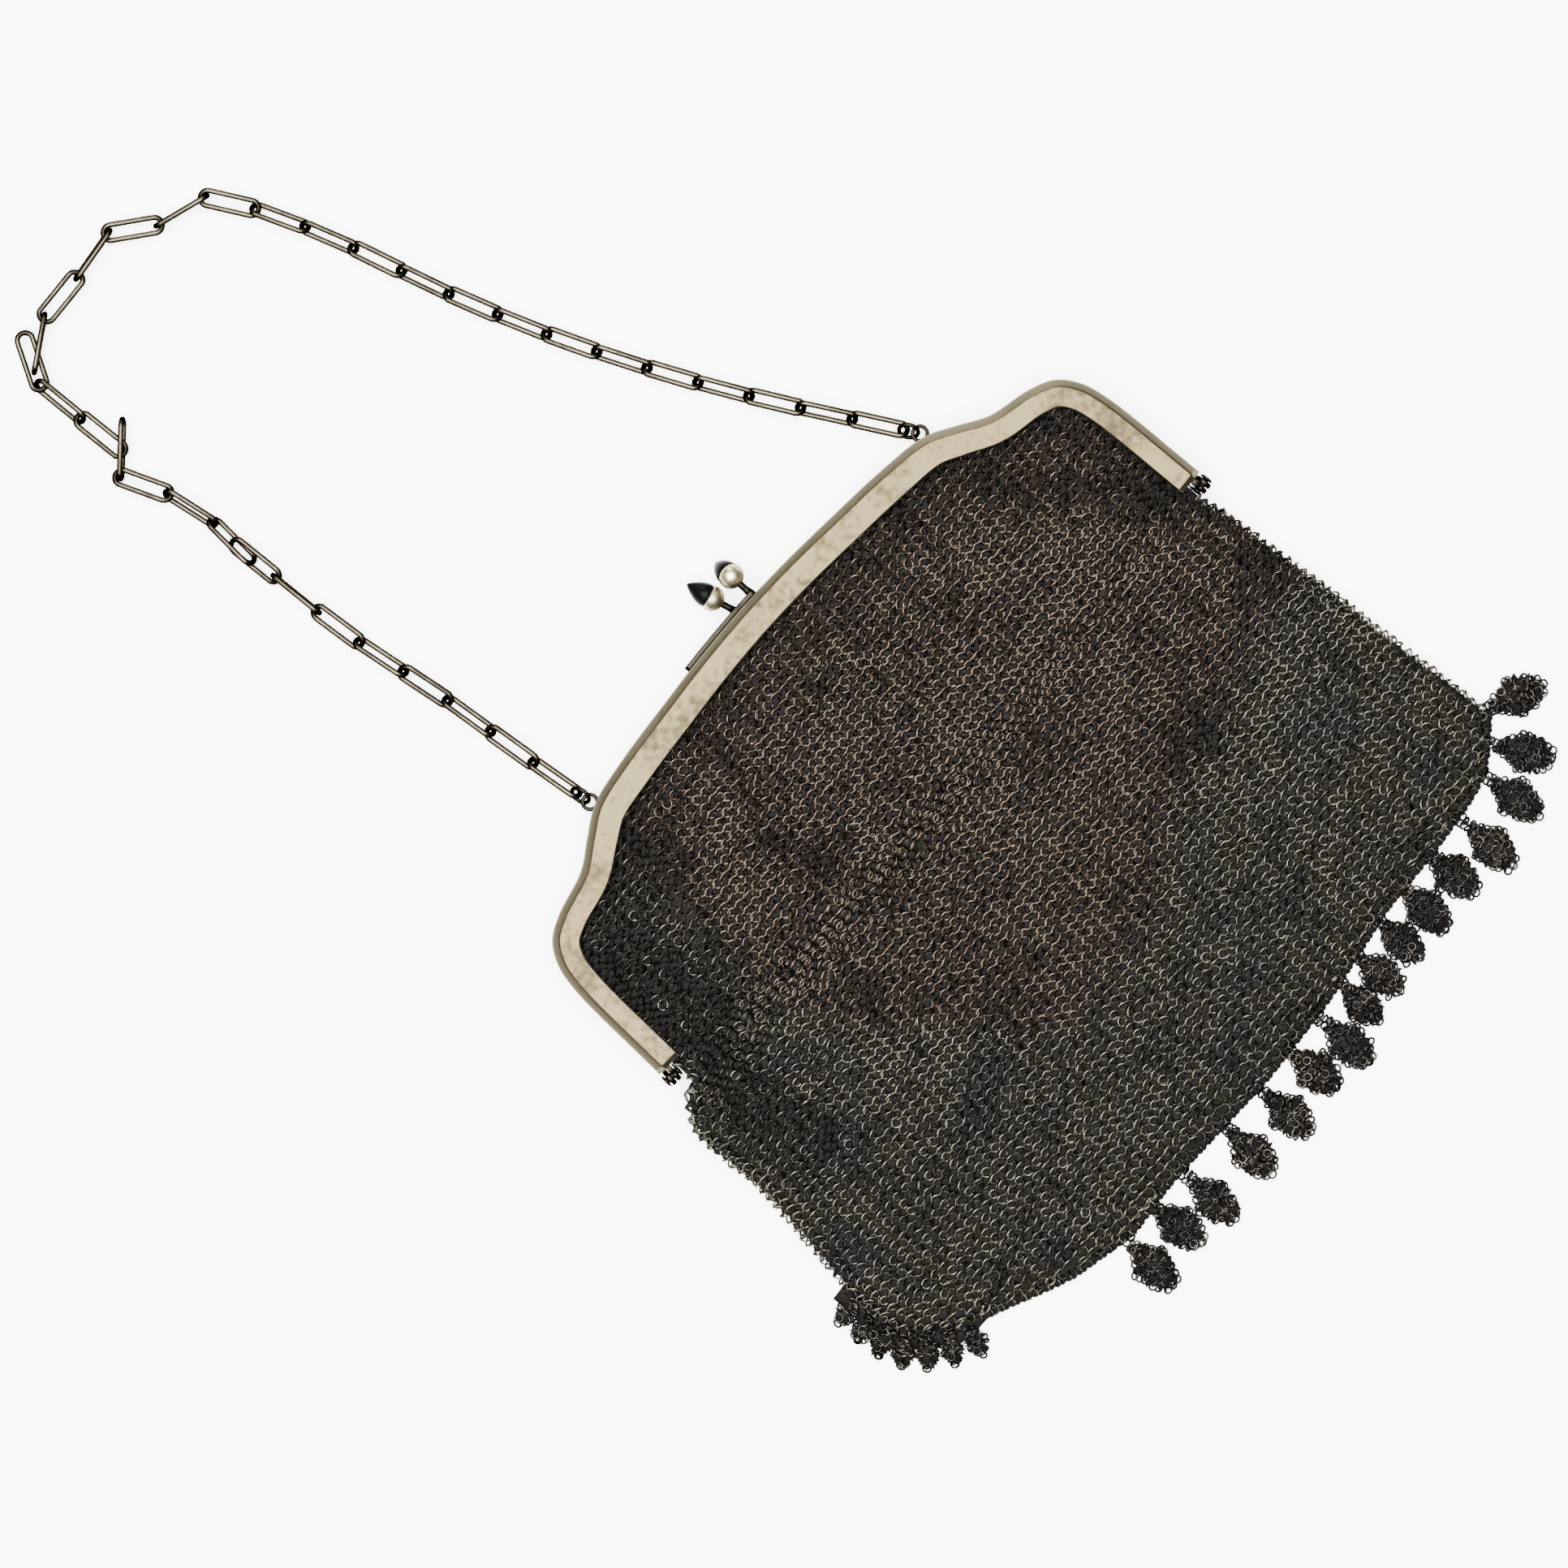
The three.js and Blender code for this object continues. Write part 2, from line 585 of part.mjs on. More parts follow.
// How far beyond an eye's middle the first link's hook lies.
const ringInner = RING_MEAN - RING_WIRE;
const ringMiddle = eyeRadius - EYE_WIRE / 2 - CLEARANCE + ringInner / 2;
const hookReach = ringMiddle + ringInner / 2 - LINK_WIRE / 2 - CLEARANCE / 2;

function ringPlace(hand) {
  const { centre } = eyePlace(hand);
  const next = new THREE.Vector2(...CHAIN_ROUTE[hand < 0 ? 0 : CHAIN_ROUTE.length - 1]);
  const towards = next.sub(centre).normalize();
  return { centre, towards };
}

function jumpRing(hand) {
  const { centre, towards } = ringPlace(hand);
  const geometry = new THREE.TorusGeometry(RING_MEAN / 2, RING_WIRE / 2, 5, 12);
  geometry.rotateX(degToRad(RING_ROLL));
  geometry.rotateZ(Math.atan2(towards.y, towards.x));
  const middle = centre.clone().addScaledVector(towards, ringMiddle);
  geometry.translate(middle.x, middle.y, CHAIN_HEIGHT);
  return weld(geometry);
}

function chainEnd(hand) {
  const { centre, towards } = ringPlace(hand);
  return centre.clone().addScaledVector(towards, hookReach);
}

const [leftEnd, rightEnd] = [chainEnd(-1), chainEnd(1)];
const routePoints = [leftEnd, ...CHAIN_ROUTE.map(([x, y]) => new THREE.Vector2(x, y)), rightEnd];
const routeCurve = new THREE.CatmullRomCurve3(
  routePoints.map((point) => new THREE.Vector3(point.x, point.y, 0)),
  false,
  'centripetal',
);
const routeSamples = routeCurve.getSpacedPoints(3000).map((point) => new THREE.Vector2(point.x, point.y));
const sampleStep = routeCurve.getLength() / (routeSamples.length - 1);

// The route as straight runs between its samples, carried straight on past its end.
function onRoute(distance) {
  const last = routeSamples.length - 1;
  const at = distance / sampleStep;
  const k = Math.min(Math.floor(at), last - 1);
  return routeSamples[k].clone().lerp(routeSamples[k + 1], at - k);
}

// Walks the links along the route, each hooking the last, and says how far past the route's end they come.
function layChain(pitch) {
  const links = [];
  let hook = routeSamples[0].clone();
  let before = new THREE.Vector2();
  let travelled = 0;
  for (let number = 1; number <= LINK_COUNT; number += 1) {
    const evenOrOdd = number % 2 ? ODD_ROLL : EVEN_ROLL;
    const plain = { enter: 0, leave: 1, slip: 0, heading: null, roll: evenOrOdd };
    const { enter, leave, slip, heading, roll } = ODD_LINKS.find((row) => row.link === number) ?? plain;
    let towards;
    if (heading === null) {
      while (onRoute(travelled).distanceTo(hook) < pitch) {
        travelled += sampleStep / 4;
      }
      towards = onRoute(travelled).sub(hook).normalize();
    } else {
      towards = new THREE.Vector2(Math.cos(degToRad(heading)), Math.sin(degToRad(heading)));
    }
    const start = hook.clone();
    start.addScaledVector(towards, -enter * pitch).addScaledVector(before, -slip * pitch);
    links.push({ number, roll, towards, middle: start.clone().addScaledVector(towards, pitch / 2) });
    hook = start.addScaledVector(towards, leave * pitch);
    before = towards;
  }
  const spare = hook.distanceTo(rightEnd) * Math.sign(travelled - routeCurve.getLength());
  return { links, spare };
}

// The pitch that brings the last link to the right ring.
function fitPitch() {
  let [low, high] = [6, 16];
  for (let step = 0; step < 30; step += 1) {
    const middle = (low + high) / 2;
    [low, high] = layChain(middle).spare < 0 ? [middle, high] : [low, middle];
  }
  return low;
}

const pitch = fitPitch();

// Bag

const rimSpan = 1 + 2 * rimReach / edgeLength;
const hingeRow = 0.36;          // share of the rows that lies between the frame's arms
const sideTop = crownY - FRAME_DROP - hingeReach - BELOW_HINGE;

function rimPlace(column, inset) {
  const ends = inset / (edgeLength * rimSpan);
  const share = lerp(ends, 1 - ends, column);
  const along = share * rimSpan - rimReach / edgeLength;
  return onFrame(along, bandWidth(along) - GRIP);
}

// Share across the bag of one column: partly even along the rim, partly where the rim lies in plan.
function columnAcross(column) {
  const reach = rimPlace(1, 0).x;
  const rimShare = (rimPlace(column, 0).x + reach) / (2 * reach);
  return lerp(column, rimShare, RIM_SPREAD);
}

const downY = (share) => crownY - share * BAG_DROP;
const sideX = (y, hand) => {
  const share = readTable(BAG_SIDES, 'down', (crownY - y) / BAG_DROP, hand < 0 ? 'left' : 'right');
  return hand * share * BAG_WIDTH / 2;
};
const rowX = (y, across, inset) => lerp(sideX(y, -1) + inset, sideX(y, 1) - inset, across);

// Plan of the bag. column: 0 to 1 from the left side to the right; row: 0 to 1 from the rim to the edge
function bagPlan(column, row, inset) {
  const across = columnAcross(column);
  if (row <= hingeRow) {
    const rim = rimPlace(column, inset);
    const share = row / hingeRow;
    return new THREE.Vector2(
      lerp(rim.x, rowX(sideTop, across, inset), share),
      lerp(rim.y, sideTop, share),
    );
  }
  const bottom = downY(readTable(BAG_BOTTOM, 'across', across, 'down')) + inset;
  const y = lerp(sideTop, bottom, (row - hingeRow) / (1 - hingeRow));
  return new THREE.Vector2(rowX(y, across, inset), y);
}

const edgeShares = Array.from({ length: EDGE_SAMPLES + 1 }, (_, k) => k / EDGE_SAMPLES);
const edgeSamples = edgeShares.map((along) => onFrame(along, 0));
const fromFrameEdge = (place) => Math.min(...edgeSamples.map((sample) => sample.distanceTo(place)));

// How far the folds lift or sink the front layer at a place in plan.
function foldLift(place) {
  let lift = 0;
  for (const fold of FOLDS) {
    const from = new THREE.Vector2(fold.x1 * BAG_WIDTH / 2, downY(fold.y1));
    const to = new THREE.Vector2(fold.x2 * BAG_WIDTH / 2, downY(fold.y2));
    const run = to.clone().sub(from);
    const share = clamp(place.clone().sub(from).dot(run) / run.lengthSq(), 0, 1);
    const away = place.distanceTo(from.addScaledVector(run, share)) / (fold.spread * FOLD_SPREAD);
    lift += fold.depth * FOLD_DEPTH * Math.exp(-away * away);
  }
  return lift;
}

// Heights of the middles of the two layers at a place in plan.
function layerHeights(place, row) {
  const freed = smoothstep(fromFrameEdge(place), BAND_CROWN, BAND_CROWN + FRAME_BLEND);
  const crest = lerp(BAG_CREST, BAG_FOOT, smoothstep(row, CREST_FALL, 1));
  const front = lerp(splitZ(1, grooveMiddle), crest + foldLift(place), freed);
  const back = lerp(splitZ(-1, grooveMiddle), MESH_WALL / 2 + BACK_LIFT, freed);
  return { front, back };
}

// How far the two layers have parted: nothing at the side folds and the bottom fold, all between them.
function parted(column, row) {
  const sideRound = lerp(...SIDE_ROUND, smoothstep(row, ...SIDE_CHANGE));
  const fromSide = clamp(Math.min(column, 1 - column) / sideRound, 0, 1);
  const fromBottom = clamp((1 - row) / BOTTOM_ROUND, 0, 1);
  return Math.sqrt(1 - (1 - fromSide) ** 2) * Math.sqrt(1 - (1 - fromBottom) ** 2);
}

// A point of the bag's skin. side: 1 for the front layer, -1 for the back; skin: 1 outside, -1 inside
function bagPoint(column, row, side, skin) {
  const { front, back } = layerHeights(bagPlan(column, row, 0), row);
  const half = (front - back) / 2 + skin * MESH_WALL / 2;
  const place = bagPlan(column, row, skin > 0 ? 0 : MESH_WALL);
  return [place.x, place.y, (front + back) / 2 + side * half * parted(column, row)];
}

// Columns are closest round the corners and shoulders of the frame, and rows at the bottom fold.
const HALF_COLUMNS = [
  0, 0.005, 0.016, 0.04, 0.08, 0.118, 0.145, 0.172, 0.198, 0.222, 0.248, 0.285, 0.335, 0.39, 0.445,
];
const BAG_COLUMNS = [...HALF_COLUMNS, 0.5, ...HALF_COLUMNS.map((column) => 1 - column).reverse()];
const BAG_ROWS = [0, 0.016, 0.07, 0.16, 0.26, 0.36, 0.42, 0.51, 0.62, 0.74, 0.86, 0.95, 0.988, 1];

function meshBag() {
  const positions = [];
  const triangles = [];
  const width = BAG_COLUMNS.length;
  const skins = [[1, 1], [-1, 1], [1, -1], [-1, -1]];
  for (const [side, skin] of skins) {
    const first = positions.length / 3;
    const outwards = side * skin > 0;
    BAG_ROWS.forEach((row, r) => BAG_COLUMNS.forEach((column, c) => {
      positions.push(...bagPoint(column, row, side, skin));
      if (r === 0 || c === 0) {
        return;
      }
      const d = first + r * width + c;
      const quad = [d - width - 1, d - width, d, d - 1];
      const [p, q, s, t] = outwards ? quad : quad.reverse();
      triangles.push(p, s, q, p, t, s);
    }));
  }
  const skinSize = BAG_ROWS.length * width;
  for (let c = 1; c < width; c += 1) {
    triangles.push(c - 1, c, 2 * skinSize + c, c - 1, 2 * skinSize + c, 2 * skinSize + c - 1);
    const [p, q] = [skinSize + c - 1, skinSize + c];
    triangles.push(q, p, p + 2 * skinSize, q, p + 2 * skinSize, q + 2 * skinSize);
  }
  return solidGeometry(positions, triangles);
}

// Fringe

// The bag's edge that carries the fringe: up the left side a little way, then along the bottom.
const hemEdge = [];
for (let k = 0; k <= HEM_SIDE_POINTS; k += 1) {
  hemEdge.push(bagPlan(0, lerp(HEM_START, 1, k / HEM_SIDE_POINTS), 0));
}
for (let k = 1; k <= HEM_POINTS; k += 1) {
  hemEdge.push(bagPlan(k / HEM_POINTS, 1, 0));
}
const hemPath = new THREE.CurvePath();
for (let k = 1; k < hemEdge.length; k += 1) {
  hemPath.add(new THREE.LineCurve(hemEdge[k - 1], hemEdge[k]));
}
const dropWidth = hemPath.getLength() / DROPS_PER_HEM;

// A place outside the bag's edge, by the share along it.
function onHem(along, out) {
  const point = hemPath.getPointAt(along);
  const before = hemPath.getPointAt(Math.max(0, along - HEM_SLOPE));
  const after = hemPath.getPointAt(Math.min(1, along + HEM_SLOPE));
  const run = after.clone().sub(before).normalize();
  return point.clone().add(new THREE.Vector2(run.y, -run.x).multiplyScalar(out));
}

function hem() {
  const profile = [[CLEARANCE, 0], [CLEARANCE + HEM_WIDTH, 0],
    [CLEARANCE + HEM_WIDTH, HEM_HEIGHT], [CLEARANCE, HEM_HEIGHT]];
  const sections = [];
  for (let k = 0; k <= HEM_SECTIONS; k += 1) {
    sections.push(profile.map(([out, z]) => {
      const place = onHem(k / HEM_SECTIONS, out);
      return new THREE.Vector3(place.x, place.y, z);
    }));
  }
  return closedLoft(sections, profile.map(([out, z]) => new THREE.Vector2(out, z)));
}

// One drop with its neck, which reaches up into the hem.
function drop(row) {
  const lean = degToRad(row.lean);
  const down = new THREE.Vector2(Math.sin(lean), -Math.cos(lean));
  const centre = onHem(row.along, 0).addScaledVector(down, row.hang * DROP_LENGTH);
  const neckTop = row.hang * DROP_LENGTH - CLEARANCE - HEM_WIDTH / 2;
  const halfWidth = row.size * dropWidth / 2;
  const halfLength = row.size * DROP_LENGTH / 2;
  const right = [
    [NECK_WIDTH / 2, neckTop],
    ...DROP_OUTLINE.map((corner) => [corner.across * halfWidth, corner.along * halfLength]),
  ];
  const left = right.slice(0, -1).reverse().map(([x, y]) => [-x, y]);
  const outline = new THREE.Shape([...right, ...left].map(([x, y]) => new THREE.Vector2(x, y)));
  const body = new THREE.ExtrudeGeometry(outline, { depth: DROP_THICKNESS, bevelEnabled: false });
  body.rotateZ(lean);
  body.translate(centre.x, centre.y, 0);
  return body;
}

function fringe() {
  return fromSolid(fuse([hem(), ...DROPS.map(drop)]));
}

// Assembly

const purse = new THREE.Group();

function addPiece(name, geometry, look) {
  const mesh = new THREE.Mesh(geometry, new THREE.MeshStandardMaterial(look));
  mesh.name = name;
  purse.add(mesh);
  return mesh;
}

addPiece('frame_back', frameHalf(-1), silver);
addPiece('frame_front', frameHalf(1), silver);
addPiece('hinge_pin_left', rivet(0), agedSilver);
addPiece('hinge_pin_right', rivet(1), agedSilver);
addPiece('clasp_arm_back', claspArm(-1), silver);
addPiece('clasp_arm_front', claspArm(1), silver);
addPiece('clasp_tip_back', weld(acornTip().applyMatrix4(acornPose(-1).head)), darkTip);
addPiece('clasp_tip_front', weld(acornTip().applyMatrix4(acornPose(1).head)), darkTip);
addPiece('jump_ring_left', jumpRing(-1), agedSilver);
addPiece('jump_ring_right', jumpRing(1), agedSilver);

for (const link of layChain(pitch).links) {
  const name = `chain_link_${String(link.number).padStart(2, '0')}`;
  const mesh = addPiece(name, linkGeometry(pitch + HOOK_CLEARANCE), agedSilver);
  mesh.position.set(link.middle.x, link.middle.y, CHAIN_HEIGHT);
  mesh.rotation.set(degToRad(link.roll), 0, Math.atan2(link.towards.y, link.towards.x), 'ZYX');
}

addPiece('mesh_bag', meshBag(), meshMetal);
addPiece('fringe', fringe(), fringeMetal);

export default purse;
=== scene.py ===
# %% [markdown]
# A ring mesh purse with a silver frame, lying flat, with its wrist chain laid out above it. The packed
# solids are faceted stand-ins, each where its real piece is, so the finer pieces below take their places
# from them or from the same sizes, in metres, +Z up.

# %% The fixed frame
import math

import bpy
import numpy as np
from mathutils import Matrix, Vector


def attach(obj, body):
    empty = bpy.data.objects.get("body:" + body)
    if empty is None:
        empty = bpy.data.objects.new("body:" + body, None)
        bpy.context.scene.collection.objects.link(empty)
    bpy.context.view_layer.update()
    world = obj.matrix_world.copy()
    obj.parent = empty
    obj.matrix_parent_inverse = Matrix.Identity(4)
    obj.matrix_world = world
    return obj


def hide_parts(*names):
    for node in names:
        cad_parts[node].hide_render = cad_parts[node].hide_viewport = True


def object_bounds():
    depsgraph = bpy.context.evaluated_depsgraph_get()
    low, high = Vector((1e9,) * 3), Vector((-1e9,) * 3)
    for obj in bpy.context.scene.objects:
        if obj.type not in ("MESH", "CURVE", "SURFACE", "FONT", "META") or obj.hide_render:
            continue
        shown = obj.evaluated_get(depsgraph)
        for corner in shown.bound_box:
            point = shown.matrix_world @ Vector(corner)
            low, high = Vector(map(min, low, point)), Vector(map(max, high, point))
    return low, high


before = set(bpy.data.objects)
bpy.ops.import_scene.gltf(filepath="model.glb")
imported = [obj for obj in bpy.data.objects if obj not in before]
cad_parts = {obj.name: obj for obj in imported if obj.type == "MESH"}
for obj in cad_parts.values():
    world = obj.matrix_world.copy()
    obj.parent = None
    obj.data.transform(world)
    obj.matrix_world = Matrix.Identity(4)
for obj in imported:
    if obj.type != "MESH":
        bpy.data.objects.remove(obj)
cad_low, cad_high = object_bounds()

MM = 0.001
print("CAD box in mm:", [round(x / MM, 1) for x in cad_high - cad_low])

# %% [markdown]
# The purse was photographed from straight above, turned about half a right angle. A long lens far away
# keeps the sides of things upright. The camera needs the point of the purse in the middle of the picture,
# the width of the picture on the table, and the turn.

# %% Camera
VIEW_WIDTH = 0.2956
VIEW_MIDDLE = (-0.01975, -0.02405)
VIEW_TURN = math.radians(-48.15)
LENS = 110.0


def add_object(name, data):
    made = bpy.data.objects.new(name, data)
    bpy.context.scene.collection.objects.link(made)
    return made


camera = add_object("camera", bpy.data.cameras.new("camera"))
camera.data.lens = LENS
camera.data.sensor_width = 36.0
camera.data.clip_start = 0.01
camera_height = VIEW_WIDTH * LENS / camera.data.sensor_width
camera.location = (*VIEW_MIDDLE, camera_height + cad_high.z / 2)
camera.rotation_euler = (0, 0, VIEW_TURN)
bpy.context.scene.camera = camera
print("camera", round(camera_height, 3), "m above the purse")

# %% [markdown]
# Metal shows what it reflects, so light matters more here than on cloth. One strong softbox overhead
# lights the top of every wire, and a weaker one low at the side draws the bevels. The world stays dim,
# because a bright one fills the gaps between the rings.

# %% Floor and lights
def soft_light(name, place, size, watts):
    """A square or oblong lamp that faces the middle of the purse."""
    lamp = bpy.data.lights.new(name, "AREA")
    lamp.shape = "RECTANGLE"
    lamp.size, lamp.size_y = size
    lamp.energy = watts
    made = add_object(name, lamp)
    made.location = place
    made.rotation_euler = (-Vector(place)).to_track_quat("-Z", "Y").to_euler()


world = bpy.data.worlds.new("studio")
world.use_nodes = True
background = world.node_tree.nodes["Background"].inputs
background["Color"].default_value = (0.92, 0.95, 1.0, 1)
background["Strength"].default_value = 0.25
bpy.context.scene.world = world

soft_light("overhead", (-0.10, 0.06, 1.3), (1.3, 1.3), 170)
soft_light("side", (0.55, 0.75, 0.45), (0.5, 0.3), 8)
print("world and two softboxes")

# %% [markdown]
# Materials are webs of nodes, hard to read node by node. So one small class wraps a node's output and
# lets it be added, multiplied and subtracted like a number: each such sum becomes a Math node. All other
# nodes come from one method, `node`.

# %% A value in a material that can be used in sums
def colour(red, green, blue):
    """A colour given as 0 to 255, in the linear light that shaders work in."""
    shares = [c / 255 for c in (red, green, blue)]
    return (*[s / 12.92 if s <= 0.04045 else ((s + 0.055) / 1.055) ** 2.4 for s in shares], 1.0)


class Signal:
    """One output of a node of a finish."""

    def __init__(self, finish, socket):
        self.finish, self.socket = finish, socket

    def maths(self, operation, *values, clamp=False):
        return self.finish.node("Math", {"operation": operation, "use_clamp": clamp}, dict(enumerate(values)))

    def size(self):
        return self.maths("ABSOLUTE", self)

    def __add__(self, other):
        return self.maths("ADD", self, other)

    def __sub__(self, other):
        return self.maths("SUBTRACT", self, other)

    def __rsub__(self, other):
        return self.maths("SUBTRACT", other, self)

    def __mul__(self, other):
        return self.maths("MULTIPLY", self, other)

    __radd__, __rmul__ = __add__, __mul__

    def kept(self):
        """The value held between 0 and 1."""
        return self.maths("ADD", self, 0.0, clamp=True)


class Finish:
    """A material, its Principled shader, and the nodes that feed it."""

    def __init__(self, name, **sockets):
        self.name = name
        self.material = bpy.data.materials.new(name)
        self.material.use_nodes = True
        self.tree = self.material.node_tree
        self.shader = self.tree.nodes["Principled BSDF"]
        self.place = self.node("TexCoord", out="Object")
        self.set(**sockets)

    def node(self, kind, settings=None, sockets=None, out=0):
        made = self.tree.nodes.new("ShaderNode" + kind)
        for name, value in (settings or {}).items():
            setattr(made, name, value)
        self.feed(made, sockets or {})
        return Signal(self, made.outputs[out])

    def feed(self, node, sockets):
        for name, value in sockets.items():
            if isinstance(value, Signal):
                self.tree.links.new(value.socket, node.inputs[name])
            else:
                node.inputs[name].default_value = value

    def set(self, **sockets):
        self.feed(self.shader, {name.replace("_", " "): value for name, value in sockets.items()})

    def noise(self, scale, detail=2.0, stretch=(1, 1, 1)):
        place = self.node("Mapping", {}, {"Vector": self.place, "Scale": stretch})
        return self.node("TexNoise", {}, {"Vector": place, "Scale": scale, "Detail": detail})

    def blend(self, share, first, second):
        mix = {"data_type": "RGBA"}
        return self.node("Mix", mix, {"Factor": share, 6: first, 7: second}, out=2)

    def between(self, value, low, high):
        """A smooth step from 0 at low to 1 at high."""
        ends = {"Value": value, "From Min": low, "From Max": high}
        return self.node("MapRange", {"interpolation_type": "SMOOTHSTEP"}, ends)

    def bump(self, height, distance):
        self.set(Normal=self.node("Bump", {}, {"Height": height, "Distance": distance}))


print("shader helpers ready")

# %% [markdown]
# The table is plain white and glows a little, which washes out the shadows.

# %% The white table
card = Finish("white_card", Roughness=0.8, Emission_Color=(1, 1, 1, 1), Emission_Strength=2.4)
card.set(Base_Color=card.blend(card.noise(6.0), colour(250, 250, 250), colour(255, 255, 255)))
TABLE_HALF = 2.0
RING_SAG = 0.45 * MM   # the lowest rings hang this far below the frame's back, and touch the table
table_mesh = bpy.data.meshes.new("table")
corners = [(x * TABLE_HALF, y * TABLE_HALF, 0) for x, y in ((-1, -1), (1, -1), (1, 1), (-1, 1))]
table_mesh.from_pydata(corners, [], [(0, 1, 2, 3)])
table = add_object("table", table_mesh)
table.location.z = cad_low.z - RING_SAG
table.data.materials.append(card.material)
print("table at", round(table.location.z / MM, 2), "mm")

# %% [markdown]
# Silver that has been handled for years is paler where fingers rub it, and darker and duller where they
# do not reach. Two noises at different sizes give that change, and two more, stretched along one axis,
# stand for scratches.

# %% Old silver
# what a metal shows at grazing angles: clean metal turns white there. Held near black, it keeps every rim
# dark, partly as grime and partly as painted shade.
EDGE_TINT = (0.02, 0.02, 0.02, 1)
SCRATCH_DEPTH = 0.02 * MM


def metal(name, light, dark, roughness, tarnish=0.5, read_wear_and_shade=False, painted_slope_light=None):
    """An old metal. tarnish: share of it that is dark; slopes: colour of the faces that aren't level, which
    is painted reflection.
    """
    made = Finish(name, Metallic=1.0, Specular_Tint=EDGE_TINT)
    cloud = made.noise(90.0, 4.0) * 0.6 + made.noise(700.0, 3.0) * 0.4
    dull = made.between(cloud, 0.62 - 0.3 * tarnish, 0.75 - 0.15 * tarnish)
    base = made.blend(dull, light, dark)
    if read_wear_and_shade:
        # where the value is low the colour goes near black: grime and wear, and painted shade on the sloping
        # sides
        wear_and_shade = made.node("Attribute", {"attribute_name": "wear_and_shade"}, out="Fac")
        base = made.blend(wear_and_shade, colour(10, 9, 8), base)
    # sloped faces get a lighter colour of their own, which is painted reflection
    if painted_slope_light:
        facing = made.node("NewGeometry", out="Normal")
        level = made.node("SeparateXYZ", {}, {0: facing}, out=2).size()
        base = made.blend(made.between(level, 0.6, 0.9), painted_slope_light, base)
    made.set(Base_Color=base, Roughness=roughness + 0.14 * dull)
    lines = made.noise(1500.0, 3.0, (0.06, 1, 1)) + made.noise(1300.0, 3.0, (1, 0.06, 1))
    made.bump(lines, SCRATCH_DEPTH)
    return made


silver = metal(
    "silver", colour(66, 58, 41), colour(46, 40, 29), 0.34, tarnish=0.6, painted_slope_light=colour(108, 102, 86)
)
polished = metal("polished_silver", colour(176, 165, 138), colour(140, 130, 106), 0.30)
pewter = metal("pewter", colour(70, 63, 50), colour(46, 42, 34), 0.32, tarnish=0.6, read_wear_and_shade=True)
print("metals:", silver.material.name, polished.material.name, pewter.material.name)

# %% [markdown]
# Every piece below is a list of points and faces worked out with numpy, so sizes stay plain to read and
# thousands of equal rings cost no more lines than one. `loft` skins a row of equal sections, and `turned`
# spins a profile, as a lathe does.


def smoothstep(value, low, high):
    t = np.clip((value - low) / (high - low), 0, 1)
    return t * t * (3 - 2 * t)


def make_piece(name, points, faces, finish, replaces=(), wear_and_shade=None, side_shade=(0.15, 0.8)):
    """
    worn: 0 to 1, for all or for each point, how bright it is kept, by wear and by painted highlight and
    shade, for a finish that reads it.
    flank: how level a surface is, 0 to 1, where it begins to keep that brightness and where it keeps it in
    full; steeper sides are painted dark, as shade.
    """
    mesh = bpy.data.meshes.new(name)
    mesh.from_pydata(np.asarray(points).tolist(), [], [list(face) for face in faces])
    mesh.polygons.foreach_set("use_smooth", [True] * len(mesh.polygons))
    mesh.materials.append(finish.material)
    if wear_and_shade is not None:
        normals = np.empty(3 * len(mesh.vertices), np.float32)
        mesh.vertex_normals.foreach_get("vector", normals)
        bright_share = np.ravel(wear_and_shade) * smoothstep(np.abs(normals[2::3]), *side_shade)
        values = mesh.attributes.new("wear_and_shade", "FLOAT", "POINT")
        values.data.foreach_set("value", bright_share.astype(np.float32))
    made = add_object(name, mesh)
    if replaces:
        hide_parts(*replaces)
    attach(made, "root")
    return made


def joined(*shapes):
    """Several (points, faces) as one."""
    points, faces, first = [], [], 0
    for some_points, some_faces in shapes:
        points.append(np.asarray(some_points, float).reshape(-1, 3))
        faces += [[first + k for k in face] for face in some_faces]
        first += len(points[-1])
    return np.concatenate(points), faces


def loft(sections, closed=False):
    """Skin over sections, rows by corners by 3, with capped ends. closed: the last row meets the first."""
    rows, corners, _ = sections.shape
    faces = []
    for r in range(rows if closed else rows - 1):
        here, there = r * corners, (r + 1) % rows * corners
        for c in range(corners):
            d = (c + 1) % corners
            faces.append((here + c, here + d, there + d, there + c))
    if not closed:
        faces += [tuple(range(corners))[::-1], tuple((rows - 1) * corners + k for k in range(corners))]
    return sections.reshape(-1, 3), faces


def full_turn(steps):
    """Equal angles all the way round."""
    return np.linspace(0, 2 * math.pi, steps, endpoint=False)


def turned(rows, place, sides=24):
    """A profile of (radius, height) spun about the Z axis of a place. Both ends lie on the axis."""
    turn = full_turn(sides)
    circles = [(r * np.cos(turn), r * np.sin(turn), np.full(sides, height)) for r, height in rows]
    points, faces = loft(np.array(circles).transpose(0, 2, 1))
    return np.array([place @ Vector(p) for p in points]), faces


def rounded(corners, radius):
    """A closed outline with its corners rounded off."""
    corners = np.asarray(corners, float)
    made = []
    for here, before, after in zip(corners, np.roll(corners, 1, 0), np.roll(corners, -1, 0)):
        ends = []
        for other in (before, after):
            run = other - here
            length = np.linalg.norm(run)
            ends.append(here + run / length * min(radius, 0.45 * length))
        for t in (0, 0.5, 1):
            made.append((1 - t) ** 2 * ends[0] + 2 * t * (1 - t) * here + t * t * ends[1])
    return np.array(made)


def unit(v):
    return v / np.maximum(np.linalg.norm(v, axis=-1, keepdims=True), 1e-12)


def lengths_along(line):
    """How far along a line each of its points lies."""
    return np.concatenate([[0], np.cumsum(np.linalg.norm(np.diff(line, axis=0), axis=1))])


